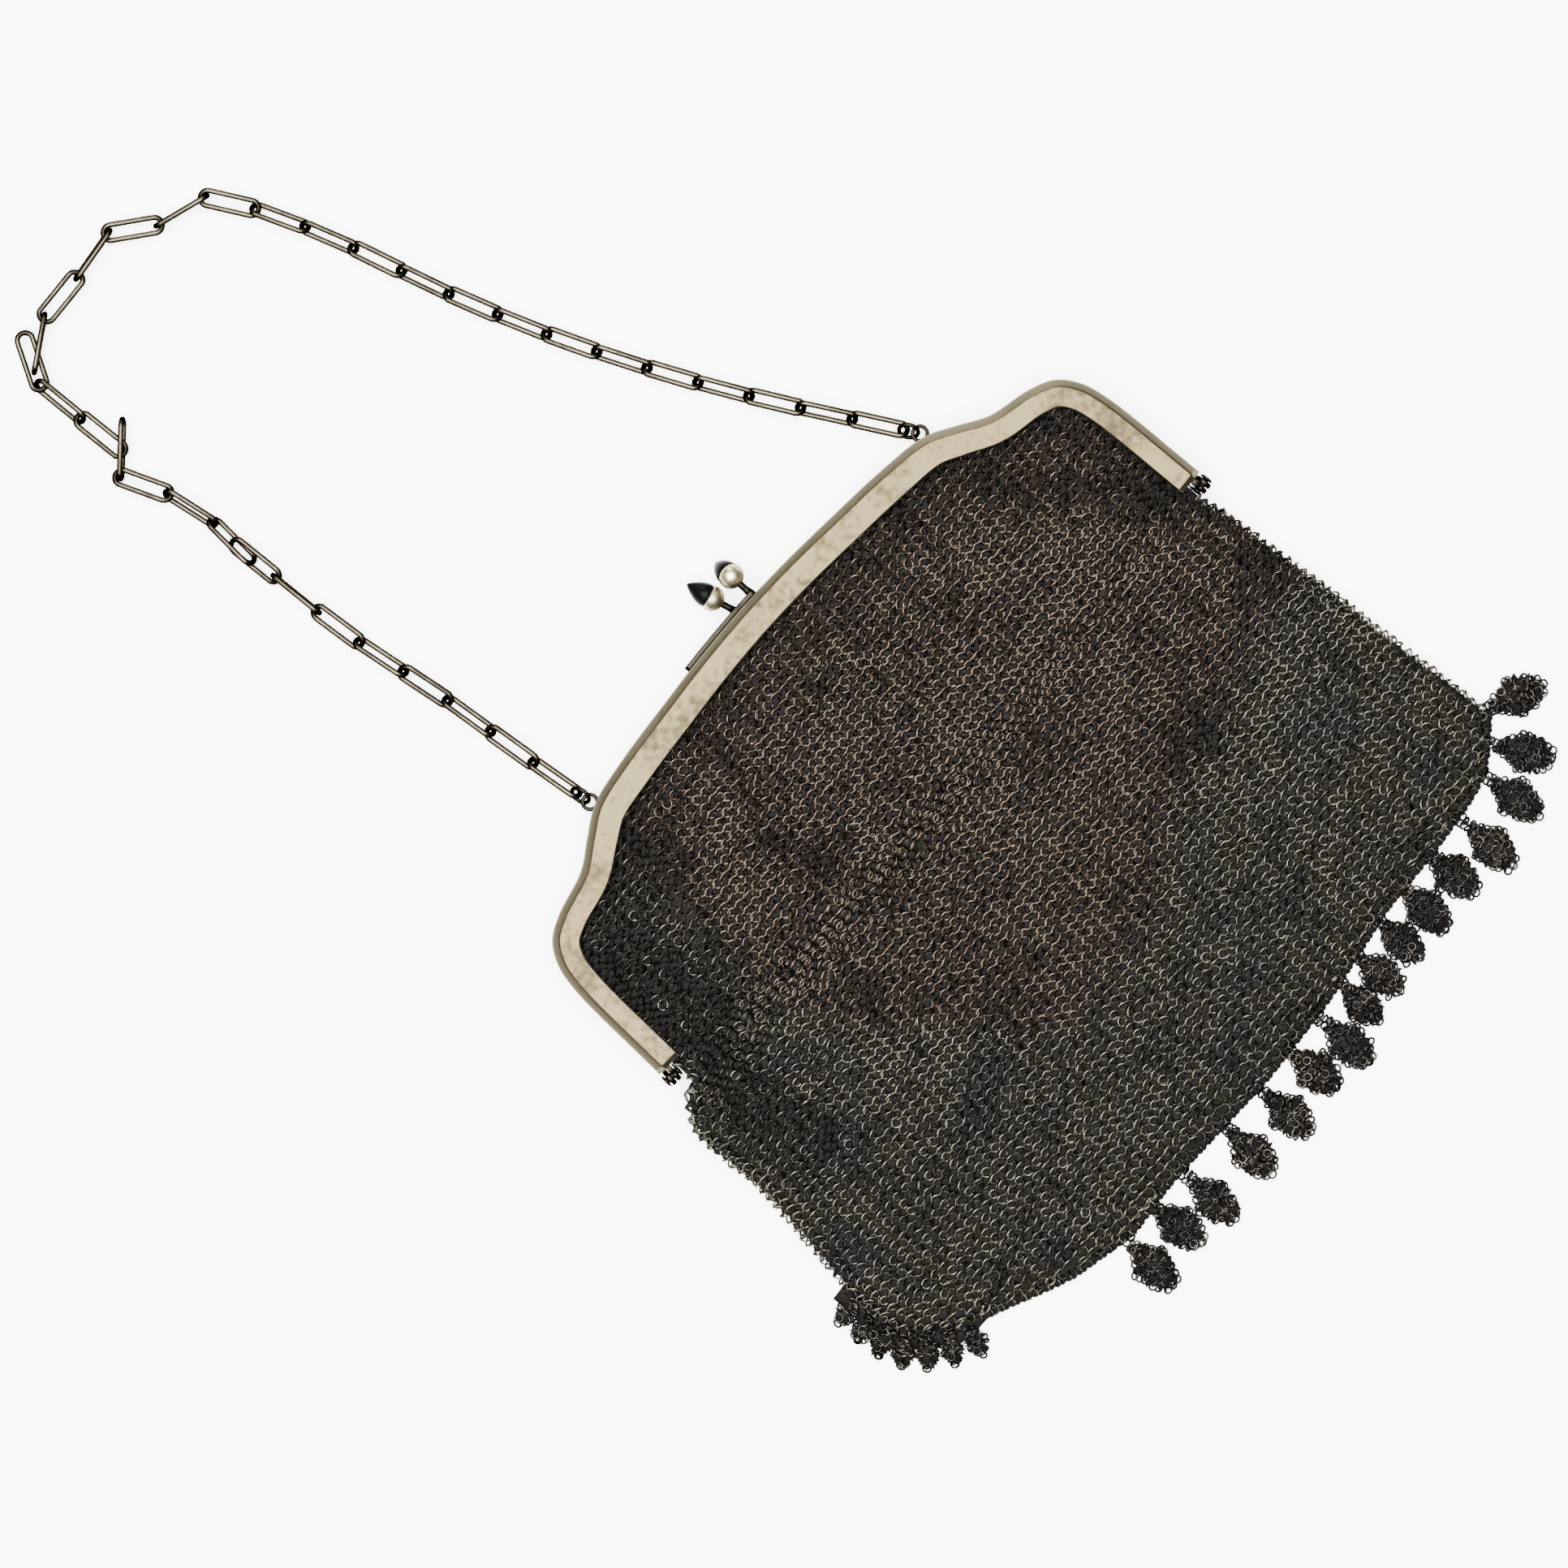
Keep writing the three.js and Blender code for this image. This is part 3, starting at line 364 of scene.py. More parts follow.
def at_length(at, run, line):
    """Places in plan, or slopes, at given lengths along a line."""
    return np.stack([np.interp(at, run, line[:, k]) for k in (0, 1)], -1)


print("piece helpers ready")

# %% [markdown]
# The outer edge of the frame is one smooth line, the same for both halves: an arch at the top, two swept
# shoulders and two straight arms. It is a Catmull-Rom curve, which passes through its points and needs no
# handles.

# %% The line of the frame
FRAME_WIDTH, FRAME_DROP = 152 * MM, 47 * MM
HALF_THICKNESS, SPLIT_GAP = 4.8 * MM, 0.4 * MM
BAND_CROWN, BAND_ARM = 6.4 * MM, 5.3 * MM
BEVEL_WIDTH, BEVEL_DEPTH = 1.5 * MM, 1.3 * MM
PLATE, GRIP, CLEARANCE = 0.8 * MM, 1.8 * MM, 0.3 * MM
GROOVE_PLAY, GROOVE_HEIGHT = 0.45 * MM, 2.0 * MM
CROWN_Y = (BAND_CROWN + BEVEL_WIDTH) / 2
MIDDLE_Z = HALF_THICKNESS + SPLIT_GAP / 2

# across: share of half the width; down: share of the drop
FRAME_EDGE = [
    (0.000, 0.000), (0.158, 0.007), (0.303, 0.024), (0.483, 0.050), (0.609, 0.086), (0.684, 0.153),
    (0.758, 0.225), (0.868, 0.272), (0.930, 0.322), (0.966, 0.405), (0.984, 0.520), (1.000, 1.000),
]


def catmull_rom(points, steps):
    """A centripetal curve through the points, as many straight steps as asked between each two."""
    points = np.asarray(points, float)
    padded = np.vstack([2 * points[0] - points[1], points, 2 * points[-1] - points[-2]])
    t = np.linspace(0, 1, steps, endpoint=False)[:, None]
    made = []
    for p0, p1, p2, p3 in zip(padded, padded[1:], padded[2:], padded[3:]):
        d0, d1, d2 = [math.sqrt(np.linalg.norm(b - a)) for a, b in ((p0, p1), (p1, p2), (p2, p3))]
        m1 = ((p1 - p0) / d0 - (p2 - p0) / (d0 + d1) + (p2 - p1) / d1) * d1
        m2 = ((p2 - p1) / d1 - (p3 - p1) / (d1 + d2) + (p3 - p2) / d2) * d1
        made.append(p1 + m1 * t + (3 * (p2 - p1) - 2 * m1 - m2) * t**2 + (2 * (p1 - p2) + m1 + m2) * t**3)
    return np.vstack([*made, points[-1:]])


right_edge = [(a * FRAME_WIDTH / 2, CROWN_Y - d * FRAME_DROP) for a, d in FRAME_EDGE]
left_edge = [(-x, y) for x, y in right_edge[:0:-1]]
edge_line = catmull_rom(left_edge + right_edge, 100)
edge_run = lengths_along(edge_line)
edge_length = edge_run[-1]
edge_slope = np.gradient(edge_line, edge_run, axis=0)
print("outer edge of the frame:", round(edge_length / MM, 1), "mm")


def on_frame(along, inset):
    """Places in plan at shares of the outer edge, inset from it. Shares may run past either end."""
    along, inset = np.broadcast_arrays(np.asarray(along, float), inset)
    share = np.clip(along, 0, 1)
    point, slope = [at_length(share * edge_length, edge_run, line) for line in (edge_line, edge_slope)]
    slope = unit(slope)
    beyond = ((along - share) * edge_length)[..., None]
    inwards = np.stack([slope[..., 1], -slope[..., 0]], -1)
    return point + slope * beyond + inwards * inset[..., None]


def band_width(along):
    from_crown = np.abs(2 * np.clip(along, 0, 1) - 1)
    return BAND_CROWN + (BAND_ARM - BAND_CROWN) * smoothstep(from_crown, 0.3, 0.7)


def along_at(x):
    """Share of the outer edge at a given x."""
    return float(np.interp(x, edge_line[:, 0], edge_run)) / edge_length


# %% [markdown]
# Each half of the frame is a flat face with a sloped border along its outer edge, and a groove on the
# inside that holds the mesh. The section has rounded corners, which catch the light, and is swept along
# the line. The lugs at the arms' ends and the two soldered eyes are darker, so they are pieces of their
# own.

# %% The two halves of the frame
STATIONS = 180
LUG_RADIUS, LUG_THICKNESS, LUG_ROOT = 1.6 * MM, 0.9 * MM, 1.2 * MM
RIVET_RADIUS, RIVET_HEAD_RADIUS, RIVET_HEAD = 0.7 * MM, 1.3 * MM, 0.5 * MM
LUG_OFFSET = LUG_RADIUS + CLEARANCE
EYE_SHARE, EYE_OUTER, EYE_WIRE = 0.61, 3.6 * MM, 0.8 * MM
EYE_Z = 2.15 * MM
GRIMY, WORN_LITTLE = 0.15, 0.12   # how bright the small parts are that fingers hardly reach


def split_z(side, height):
    return MIDDLE_Z + side * (SPLIT_GAP / 2 + height)


def bar_section(band):
    groove = band - GRIP - GROOVE_PLAY
    top = HALF_THICKNESS
    corners = [
        (0, 0), (0, top - BEVEL_DEPTH), (BEVEL_WIDTH, top),
        (band, top), (band, top - PLATE), (groove, top - PLATE), (groove, top - PLATE - GROOVE_HEIGHT),
        (band, top - PLATE - GROOVE_HEIGHT), (band, 0),
    ]
    return rounded(corners, 0.28 * MM)


def frame_bar(side):
    rows = []
    for along in np.linspace(0, 1, STATIONS + 1):
        outline = bar_section(float(band_width(along)))
        rows.append(np.column_stack([on_frame(along, outline[:, 0]), split_z(side, outline[:, 1])]))
    return loft(np.array(rows))


def arm_end(end):
    """The end of an arm as axes: X inwards across the band, Y up the arm, Z up."""
    first, sign = (0, 1) if end == 0 else (-1, -1)
    slope = sign * unit(edge_slope[first])
    inwards = np.array([slope[1], -slope[0]]) * sign
    place = edge_line[first]
    return Matrix((
        (inwards[0], slope[0], 0, place[0]),
        (inwards[1], slope[1], 0, place[1]),
        (0, 0, 1, MIDDLE_Z),
        (0, 0, 0, 1),
    ))


ACROSS = Matrix.Rotation(math.pi / 2, 4, "Y")   # turns a lathed piece's axis from Z to X


def pin(rows, end):
    """A lathed piece round the hinge's axis, heights counted inwards from the arm's outer wall."""
    return turned(rows, arm_end(end) @ Matrix.Translation((0, -LUG_OFFSET, 0)) @ ACROSS)


def lug(side, end):
    start = CLEARANCE + (LUG_THICKNESS + CLEARANCE if side > 0 else 0)
    stop, edge = start + LUG_THICKNESS, 0.12 * MM
    disc = pin([(0, start), (LUG_RADIUS - edge, start), (LUG_RADIUS, start + edge),
                (LUG_RADIUS, stop - edge), (LUG_RADIUS - edge, stop), (0, stop)], end)
    half_foot = LUG_THICKNESS / 2
    outline = rounded([(-1, -1), (1, -1), (1, 1), (-1, 1)], 0.2)
    height = LUG_RADIUS + CLEARANCE
    middle = side * (SPLIT_GAP / 2 + CLEARANCE / 2 + height / 2)
    rows = []
    for y in (-LUG_OFFSET, LUG_ROOT):
        rows.append([
            arm_end(end) @ Vector((start + half_foot + u * half_foot, y, middle + v * height / 2))
            for u, v in outline
        ])
    return [disc, loft(np.array(rows))]


def torus(centre, u, v, radius, wire, segments=28, sides=12, apart=0.0):
    """A ring, or with its two halves drawn apart along u a long link."""
    around, tube = full_turn(segments), full_turn(sides)
    u, v = np.asarray(u, float), np.asarray(v, float)
    out = np.cos(around)[:, None] * u + np.sin(around)[:, None] * v
    middle = np.asarray(centre) + radius * out + apart * np.sign(np.cos(around))[:, None] * u
    sections = middle[:, None] + wire / 2 * (
        np.cos(tube)[None, :, None] * out[:, None] + np.sin(tube)[None, :, None] * np.cross(u, v)
    )
    return loft(sections, closed=True)


eye_radius = (EYE_OUTER - EYE_WIRE) / 2


def eye(hand):
    along = along_at(hand * EYE_SHARE * FRAME_WIDTH / 2)
    centre = on_frame(along, -(eye_radius - EYE_WIRE / 4))
    return torus((*centre, EYE_Z), (1, 0, 0), (0, 1, 0), eye_radius, EYE_WIRE)


def soften(piece):
    """Keeps broad flat faces flat when their edges are rounded and shaded smooth."""
    piece.modifiers.new("flat faces", "WEIGHTED_NORMAL").keep_sharp = False


for name, side in (("back", -1), ("front", 1)):
    soften(make_piece("silver_frame_" + name, *frame_bar(side), silver, ["frame_" + name]))
    soften(make_piece("hinge_lugs_" + name, *joined(*lug(side, 0), *lug(side, 1)), pewter, wear_and_shade=GRIMY))
make_piece("frame_eyes", *joined(eye(-1), eye(1)), pewter, wear_and_shade=GRIMY)
print("two frame halves, their lugs and the eyes")

# %% [markdown]
# A rivet through the lugs is the whole hinge: a turned profile with two domed heads.

# %% Hinge rivets
rivet_end = CLEARANCE + 2 * (LUG_THICKNESS + CLEARANCE)
head = [(1.0, 0), (0.97, 0.45), (0.75, 0.85), (0.35, 1.0), (0, 1.0)]
low = [(r * RIVET_HEAD_RADIUS, -h * RIVET_HEAD) for r, h in head[::-1]]
high = [(r * RIVET_HEAD_RADIUS, rivet_end + h * RIVET_HEAD) for r, h in head]
rows = [*low, (RIVET_RADIUS, 0), (RIVET_RADIUS, rivet_end), *high]
for end, hand in enumerate(("left", "right")):
    make_piece("rivet_" + hand, *pin(rows, end), pewter, ["hinge_pin_" + hand], wear_and_shade=0.25)
print("two rivets")

# %% [markdown]
# The clasp is a pair of acorns that snap past each other. Each silver cup sits on a short stem that
# stands on a strip of spring metal along the frame, and holds a dark polished tip. Cups, stems and tips
# are round, so a lathed profile makes each.

# %% Kiss-lock clasp
STRIP_THICKNESS, STRIP_WIDTH = 0.7 * MM, 2.6 * MM
STRIP_SEAT = 0.05 * MM   # the strip lies against the frame's wall
STRIP_FROM, FOOT_LENGTH = -16 * MM, 5 * MM
ACORN_SPACING, ACORN_RADIUS, ACORN_RISE = 5.5 * MM, 2.45 * MM, 5.6 * MM
ACORN_BELT, TIP_LENGTH, STEM_RADIUS = 0.4 * MM, 4.7 * MM, 0.85 * MM
BACK_LEAN, FRONT_NOD = math.radians(12), math.radians(42)
WALL_MIDDLE = (HALF_THICKNESS - BEVEL_DEPTH) / 2

dark_tip = Finish("dark_tip", Base_Color=colour(5, 5, 5), Specular_IOR_Level=0.02)
dark_tip.set(Roughness=0.16 + 0.2 * dark_tip.noise(600.0))
dark_tip.bump(dark_tip.noise(900.0, 3.0), SCRATCH_DEPTH)


def edge_strip(start, stop, side):
    half = STRIP_WIDTH / 2
    inner, outer = STRIP_SEAT, CLEARANCE + STRIP_THICKNESS
    outline = rounded([(inner, -half), (outer, -half), (outer, half), (inner, half)], 0.2 * MM)
    rows = []
    for x in np.linspace(start, stop, 25):
        plan = on_frame(along_at(x), -outline[:, 0])
        rows.append(np.column_stack([plan, split_z(side, WALL_MIDDLE) + outline[:, 1]]))
    return loft(np.array(rows))


def acorn_pose(side):
    """The foot of an acorn's stem, and the place of its head with Z along the acorn."""
    x = side * ACORN_SPACING / 2 + (math.tan(BACK_LEAN) * ACORN_RISE if side < 0 else 0)
    foot_y = on_frame(along_at(x), -CLEARANCE - STRIP_THICKNESS / 2)[1]
    foot = Vector((x, foot_y, split_z(side, WALL_MIDDLE)))
    lean = Matrix.Rotation(BACK_LEAN, 4, "Z") if side < 0 else Matrix.Rotation(-FRONT_NOD, 4, "X")
    top = (side * ACORN_SPACING / 2, on_frame(along_at(x), 0)[1] + ACORN_RISE, (foot.z + MIDDLE_Z) / 2)
    return foot, Matrix.Translation(top) @ lean @ Matrix.Rotation(-math.pi / 2, 4, "X")


def stem(foot, top):
    run = top - foot
    place = Matrix.Translation(foot) @ run.to_track_quat("Z", "Y").to_matrix().to_4x4()
    thick = STEM_RADIUS
    rows = [(0, 0), (thick, 0), (0.8 * thick, 0.3 * run.length), (0.8 * thick, 0.7 * run.length),
            (thick, run.length), (0, run.length)]
    return turned(rows, place)


cup_rows = [(0, -ACORN_RADIUS)]
for angle in np.radians(np.arange(-80, 1, 8)):
    cup_rows.append((ACORN_RADIUS * math.cos(angle), ACORN_RADIUS * math.sin(angle)))
cup_rows += [(0.99 * ACORN_RADIUS, 0.5 * ACORN_BELT), (0.97 * ACORN_RADIUS, ACORN_BELT), (0, ACORN_BELT)]
tip_base = ACORN_BELT + 0.1 * MM
tip_rows = [(0, tip_base), (0.86 * ACORN_RADIUS, tip_base)]
for radius, height in [(0.88, 0), (0.92, 0.06), (0.92, 0.16), (0.87, 0.3), (0.76, 0.46), (0.60, 0.62),
                       (0.40, 0.78), (0.22, 0.9), (0.10, 0.97), (0, 1)]:
    tip_rows.append((radius * ACORN_RADIUS, ACORN_BELT + CLEARANCE + height * TIP_LENGTH))

for name, side in (("back", -1), ("front", 1)):
    foot, place = acorn_pose(side)
    start = STRIP_FROM if side > 0 else foot.x - FOOT_LENGTH / 2
    stop = foot.x + (STEM_RADIUS if side > 0 else FOOT_LENGTH / 2)
    top = foot.lerp(place.translation, 0.85)
    spring = joined(edge_strip(start, stop, side), stem(foot, top))
    soften(make_piece("clasp_spring_" + name, *spring, pewter, ["clasp_arm_" + name], wear_and_shade=WORN_LITTLE))
    make_piece("clasp_cup_" + name, *turned(cup_rows, place, 32), polished)
    make_piece("acorn_tip_" + name, *turned(tip_rows, place, 32), dark_tip, ["clasp_tip_" + name])
print("clasp at x", round(place.translation.x / MM, 1), "mm")

# %% [markdown]
# The chain is 34 long oval links, each hooked through the last. The solids lie where each link lies, so a
# finer link only needs its solid's own axes, which singular values give: the direction in which its
# points spread furthest is the link's length, the next its width.

# %% Chain links and jump rings
LINK_WIRE, LINK_WIDTH = 1.1 * MM, 4.1 * MM
RING_MEAN, RING_WIRE = 3.7 * MM, 0.85 * MM


def axes_of(node):
    """Middle and two main axes of a solid, with its half length along the first."""
    co = np.array([v.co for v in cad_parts[node].data.vertices])
    co = np.unique(np.round(co, 7), axis=0)
    middle = co.mean(0)
    axes = np.linalg.svd(co - middle, full_matrices=False)[2]
    return middle, axes[0], axes[1], np.abs((co - middle) @ axes[0]).max()


link_radius = (LINK_WIDTH - LINK_WIRE) / 2
link_names = sorted(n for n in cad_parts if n.startswith("chain_link_"))
for node in link_names:
    middle, along, across, half_length = axes_of(node)
    apart = half_length - link_radius - LINK_WIRE / 2
    points, faces = torus(middle, along, across, link_radius, LINK_WIRE, 24, 12, apart)
    # the bends, where links rub in their own grime, stay black, and the straight sides are kept bright by
    # handling, but only on their level tops: their sloping sides get painted shade
    beyond = np.abs((points - middle) @ along) - apart
    wear_and_shade = 1 - 0.9 * smoothstep(beyond, 0.0, 0.8 * link_radius)
    make_piece(node.replace("chain_link", "link"), points, faces, pewter, [node], wear_and_shade, side_shade=(0.6, 0.98))
for hand in ("left", "right"):
    middle, along, across, _ = axes_of("jump_ring_" + hand)
    shape = torus(middle, along, across, RING_MEAN / 2, RING_WIRE, 24, 10)
    make_piece("small_ring_" + hand, *shape, pewter, ["jump_ring_" + hand], wear_and_shade=WORN_LITTLE)
print(len(link_names), "links and 2 rings")

# %% [markdown]
# The bag hangs from the frame's grooves and lies nearly flat, full of soft folds. Its shape is kept as
# heights over the plan: of the front layer, of the back layer, and how the two close into one fold along
# the sides and the bottom. The rings are laid on these heights afterwards.

# %% Plan of the bag
MESH_WALL, BAG_WIDTH, BAG_DROP = 1.4 * MM, 162 * MM, 133 * MM
BAG_CREST, BAG_FOOT = 8.0 * MM, 4.4 * MM
HINGE_REACH = LUG_OFFSET + LUG_RADIUS
ARM_END_Y = CROWN_Y - FRAME_DROP
SIDE_TOP = ARM_END_Y - HINGE_REACH - 1.5 * MM
HINGE_ROW = 0.36   # share of the way from the rim to the bottom edge, on the side, at which the hinge lies

# down, left, right: shares of the drop and of half the width
BAG_SIDES = np.array([
    (0.392, 0.901, 0.898), (0.405, 0.940, 0.905), (0.445, 0.985, 0.914), (0.583, 0.983, 0.938),
    (0.663, 1.001, 0.948), (0.744, 1.019, 0.958), (0.820, 1.012, 0.970), (0.900, 0.990, 0.981),
])
# across, down: shares of the width and of the drop
BAG_BOTTOM = np.array([
    (0.000, 0.860), (0.035, 0.907), (0.085, 0.930), (0.168, 0.976), (0.258, 1.000), (0.334, 0.991),
    (0.500, 0.995), (0.615, 0.986), (0.747, 0.960), (0.831, 0.956), (0.916, 0.945), (0.955, 0.925),
    (1.000, 0.882),
])


def down_y(share):
    return CROWN_Y - share * BAG_DROP


def side_x(y, hand):
    share = np.interp((CROWN_Y - y) / BAG_DROP, BAG_SIDES[:, 0], BAG_SIDES[:, 1 if hand < 0 else 2])
    return hand * share * BAG_WIDTH / 2


def bottom_y(across):
    return down_y(np.interp(across, BAG_BOTTOM[:, 0], BAG_BOTTOM[:, 1]))


def from_frame_edge(x, y):
    """Distance in plan to the frame's outer edge."""
    line = on_frame(np.linspace(0, 1, 400), 0)
    gap = np.full(np.shape(x), 1.0)
    for px, py in line:
        gap = np.minimum(gap, np.hypot(x - px, y - py))
    return gap


print("bag", round(BAG_WIDTH / MM), "by", round(BAG_DROP / MM), "mm")

# %% [markdown]
# The folds are straight crests and valleys with soft flanks, each one row of a table: first the large
# folds that the solid has too, then small gathers under the frame and ripples down the left side. Where
# the wide mesh is crowded into the narrow groove it also stands in fine pleats.

# %% Folds
# x1, y1, x2, y2: shares of half the width and of the drop; depth in mm; spread in mm
FOLDS = [
    (0.580, 0.169, 0.835, 0.353, -1.08, 4.8), (0.500, 0.210, 0.760, 0.400, 0.60, 6.0),
    (-0.500, 0.090, -0.640, 0.273, -0.84, 4.8), (-0.350, 0.075, -0.520, 0.250, 0.48, 5.4),
    (-0.785, 0.215, -0.680, 0.342, -1.08, 5.4), (-0.355, 0.261, -0.280, 0.457, -0.72, 4.8),
    (-0.840, 0.400, -0.785, 0.583, -0.84, 4.8), (-0.915, 0.470, -0.915, 0.860, -0.60, 3.6),
    (-0.520, 0.480, -0.280, 0.675, -0.60, 5.4), (0.890, 0.503, 0.340, 0.630, -0.60, 6.0),
    # the gathers and the ripples
    (-0.300, 0.075, -0.330, 0.200, -0.35, 1.6), (-0.240, 0.070, -0.250, 0.190, 0.30, 1.6),
    (-0.420, 0.085, -0.470, 0.210, -0.40, 1.7), (-0.560, 0.110, -0.640, 0.260, -0.45, 1.8),
    (-0.640, 0.170, -0.700, 0.300, 0.35, 1.8), (-0.700, 0.240, -0.740, 0.340, -0.45, 1.8),
    (-0.120, 0.070, -0.125, 0.160, -0.25, 1.5), (0.020, 0.070, 0.015, 0.150, -0.22, 1.5),
    (0.440, 0.090, 0.520, 0.200, -0.30, 1.7), (0.520, 0.110, 0.620, 0.230, 0.30, 1.8),
    (0.640, 0.170, 0.760, 0.300, -0.40, 1.8), (0.740, 0.240, 0.840, 0.350, -0.35, 1.8),
    (-0.744, 0.330, -0.852, 0.488, -1.00, 2.4), (-0.852, 0.488, -0.889, 0.645, -0.80, 2.0),
    (-0.860, 0.560, -0.880, 0.800, 0.35, 2.0), (-0.960, 0.520, -0.970, 0.820, 0.30, 1.8),
    (-0.800, 0.620, -0.830, 0.860, -0.30, 2.0), (-0.740, 0.450, -0.700, 0.620, 0.30, 2.4),
]


# spread: how fast the fan opens, per metre; waves: strength and length in mm of two changes of spacing;
# pitch: in mm; reach: its mean and two changes in mm; calm: share left in the middle, and where that ends
LIFT = dict(spread=11.0, waves=((1.3, 9.1), (0.8, 5.3)), pitch=3.9, power=0.6, reach=(12, 7, 0),
            calm=(0.35, 8, 40), fade=2.2)
# the same fan once more, finer, for painted shade in creases that the heights don't have
CREASE_SHADE = dict(spread=6.0, waves=((1.6, 7.3), (0.9, 4.1)), pitch=1.8, power=1.5, reach=(11, 6, 3),
              calm=(0.4, 6, 26), fade=2.0)
LIFT_DEPTH, LIFT_LEVEL, CREASE_SHADE_DEPTH = 0.55 * MM, 0.7, 0.95
GATHERED_TO = ARM_END_Y - 20 * MM


def pleats(x, y, spread, waves, pitch, power, reach, calm, fade):
    """Narrow pleats that fan out from the frame: how far each has risen, and how much of it is left."""
    depth = np.clip(from_frame_edge(x, y), 0, 1)
    fan = x / (1 + spread * depth)
    (slow, slow_mm), (quick, quick_mm) = waves
    wander = slow * np.sin(fan / (slow_mm * MM)) + quick * np.sin(fan / (quick_mm * MM) + 2)
    risen = np.abs(np.sin(fan / (pitch * MM) + wander)) ** power
    mean, wide, narrow = reach
    length = (mean + wide * np.sin(fan / (13 * MM) + 1) + narrow * np.sin(fan / (3.1 * MM))) * MM
    least, calm_to, full_from = calm
    strength = least + (1 - least) * smoothstep(np.abs(x), calm_to * MM, full_from * MM)
    return risen, strength * (1 - smoothstep(depth, BAND_CROWN, BAND_CROWN + fade * length))


def gather_lift(x, y):
    """Height that the pleats add to the mesh."""
    risen, left = pleats(x, y, **LIFT)
    return LIFT_DEPTH * (risen - LIFT_LEVEL) * left


def gather_crease_shade(x, y):
    """1 where the mesh lies open, less in the narrow creases, which is painted shade."""
    risen, left = pleats(x, y, **CREASE_SHADE)
    return 1 - CREASE_SHADE_DEPTH * (1 - risen) * left


def fold_lift(x, y):
    lift = np.where(y > GATHERED_TO, gather_lift(x, y), 0.0)
    for x1, y1, x2, y2, depth, spread in FOLDS:
        ax, ay, bx, by = x1 * BAG_WIDTH / 2, down_y(y1), x2 * BAG_WIDTH / 2, down_y(y2)
        run = (bx - ax) ** 2 + (by - ay) ** 2
        share = np.clip(((x - ax) * (bx - ax) + (y - ay) * (by - ay)) / run, 0, 1)
        away = np.hypot(x - ax - share * (bx - ax), y - ay - share * (by - ay)) / (spread * MM)
        lift += depth * MM * np.exp(-away * away)
    return lift


FREED_WITHIN = 6 * MM   # from the frame to where the mesh lies free
SHARP_FOLD, ROUND_FOLD, BOTTOM_ROUND = 2.4 * MM, 8.0 * MM, 0.05


def layer_heights(x, y):
    """Heights of the middles of the front and back layers at places in plan."""
    across = np.clip((x - side_x(y, -1)) / (side_x(y, 1) - side_x(y, -1)), 0, 1)
    row = HINGE_ROW + (1 - HINGE_ROW) * np.clip((SIDE_TOP - y) / (SIDE_TOP - bottom_y(across)), 0, 1)
    rim = CROWN_Y - BAND_CROWN
    row = np.where(y < SIDE_TOP, row, HINGE_ROW * np.clip((rim - y) / (rim - SIDE_TOP), 0, 1))
    freed = smoothstep(from_frame_edge(x, y), BAND_CROWN, BAND_CROWN + FREED_WITHIN)
    crest = BAG_CREST + (BAG_FOOT - BAG_CREST) * smoothstep(row, 0.3, 1)
    groove = HALF_THICKNESS - PLATE - GROOVE_HEIGHT / 2
    front = split_z(1, groove) * (1 - freed) + (crest + fold_lift(x, y)) * freed
    back = split_z(-1, groove) * (1 - freed) + (MESH_WALL / 2 + 0.05 * MM) * freed
    # the side folds are sharp at the hinges and rounder below
    closing = smoothstep(-y, -ARM_END_Y, -SIDE_TOP)
    side_round = SHARP_FOLD + (ROUND_FOLD - SHARP_FOLD) * smoothstep(row, HINGE_ROW, 0.6)
    from_side = np.minimum(x - side_x(y, -1), side_x(y, 1) - x)
    near_side = 1 - np.clip(from_side / side_round, 0, 1)
    near_bottom = 1 - np.clip((1 - row) / BOTTOM_ROUND, 0, 1)
    parted = np.sqrt(1 - closing * near_side**2) * np.sqrt(1 - near_bottom**2)
    middle, half_gap = (front + back) / 2, (front - back) / 2
    return middle + half_gap * parted, middle - half_gap * parted


front, back = layer_heights(np.array([0.0]), np.array([-0.06]))
print("front layer at", round(front[0] / MM, 2), "mm, back at", round(back[0] / MM, 2))

# %% [markdown]
# Round one row of the bag the mesh is a loop: across the front, over the right fold, back along the
# underside and over the left fold. Rings are linked at equal steps of that loop, so its length is
# measured and divided evenly. This keeps rings from stretching where the mesh turns over.

# %% Loops round the bag
FINE = 700
half_turn = 0.5 - 0.5 * np.cos(np.linspace(0, math.pi, FINE))


def loop_at(y, shares):
    """Places at shares of the loop round the bag, from the left fold over the front, at one y."""
    left, right = side_x(y, -1), side_x(y, 1)
    x = left + (right - left) * half_turn
    front, back = layer_heights(x, np.full(FINE, y))
    line_x = np.concatenate([x, x[::-1]])
    line_z = np.concatenate([front, back[::-1]])
    run = np.concatenate([[0], np.cumsum(np.hypot(np.diff(line_x), np.diff(line_z)))])
    at = shares * run[-1]
    return np.column_stack([np.interp(at, run, line_x), np.full(len(shares), y), np.interp(at, run, line_z)])


COLUMNS = 270
ROW_PITCH = 1.9 * MM
top_y = CROWN_Y - BAND_CROWN + GRIP
lowest_y = down_y(BAG_BOTTOM[:, 1].max())
rows_y = np.arange(top_y, lowest_y - ROW_PITCH, -ROW_PITCH)
columns = (np.arange(COLUMNS) + 0.5) / COLUMNS
# every second column lies half a ring lower, so each ring column is sampled at its own heights
even = np.array([loop_at(y, columns) for y in rows_y])
odd = np.array([loop_at(y - ROW_PITCH / 2, columns) for y in rows_y])
is_odd = (np.arange(COLUMNS) % 2 == 1)[None, :, None]
centres = np.where(is_odd, odd, even)
print("ring grid", centres.shape[:2])

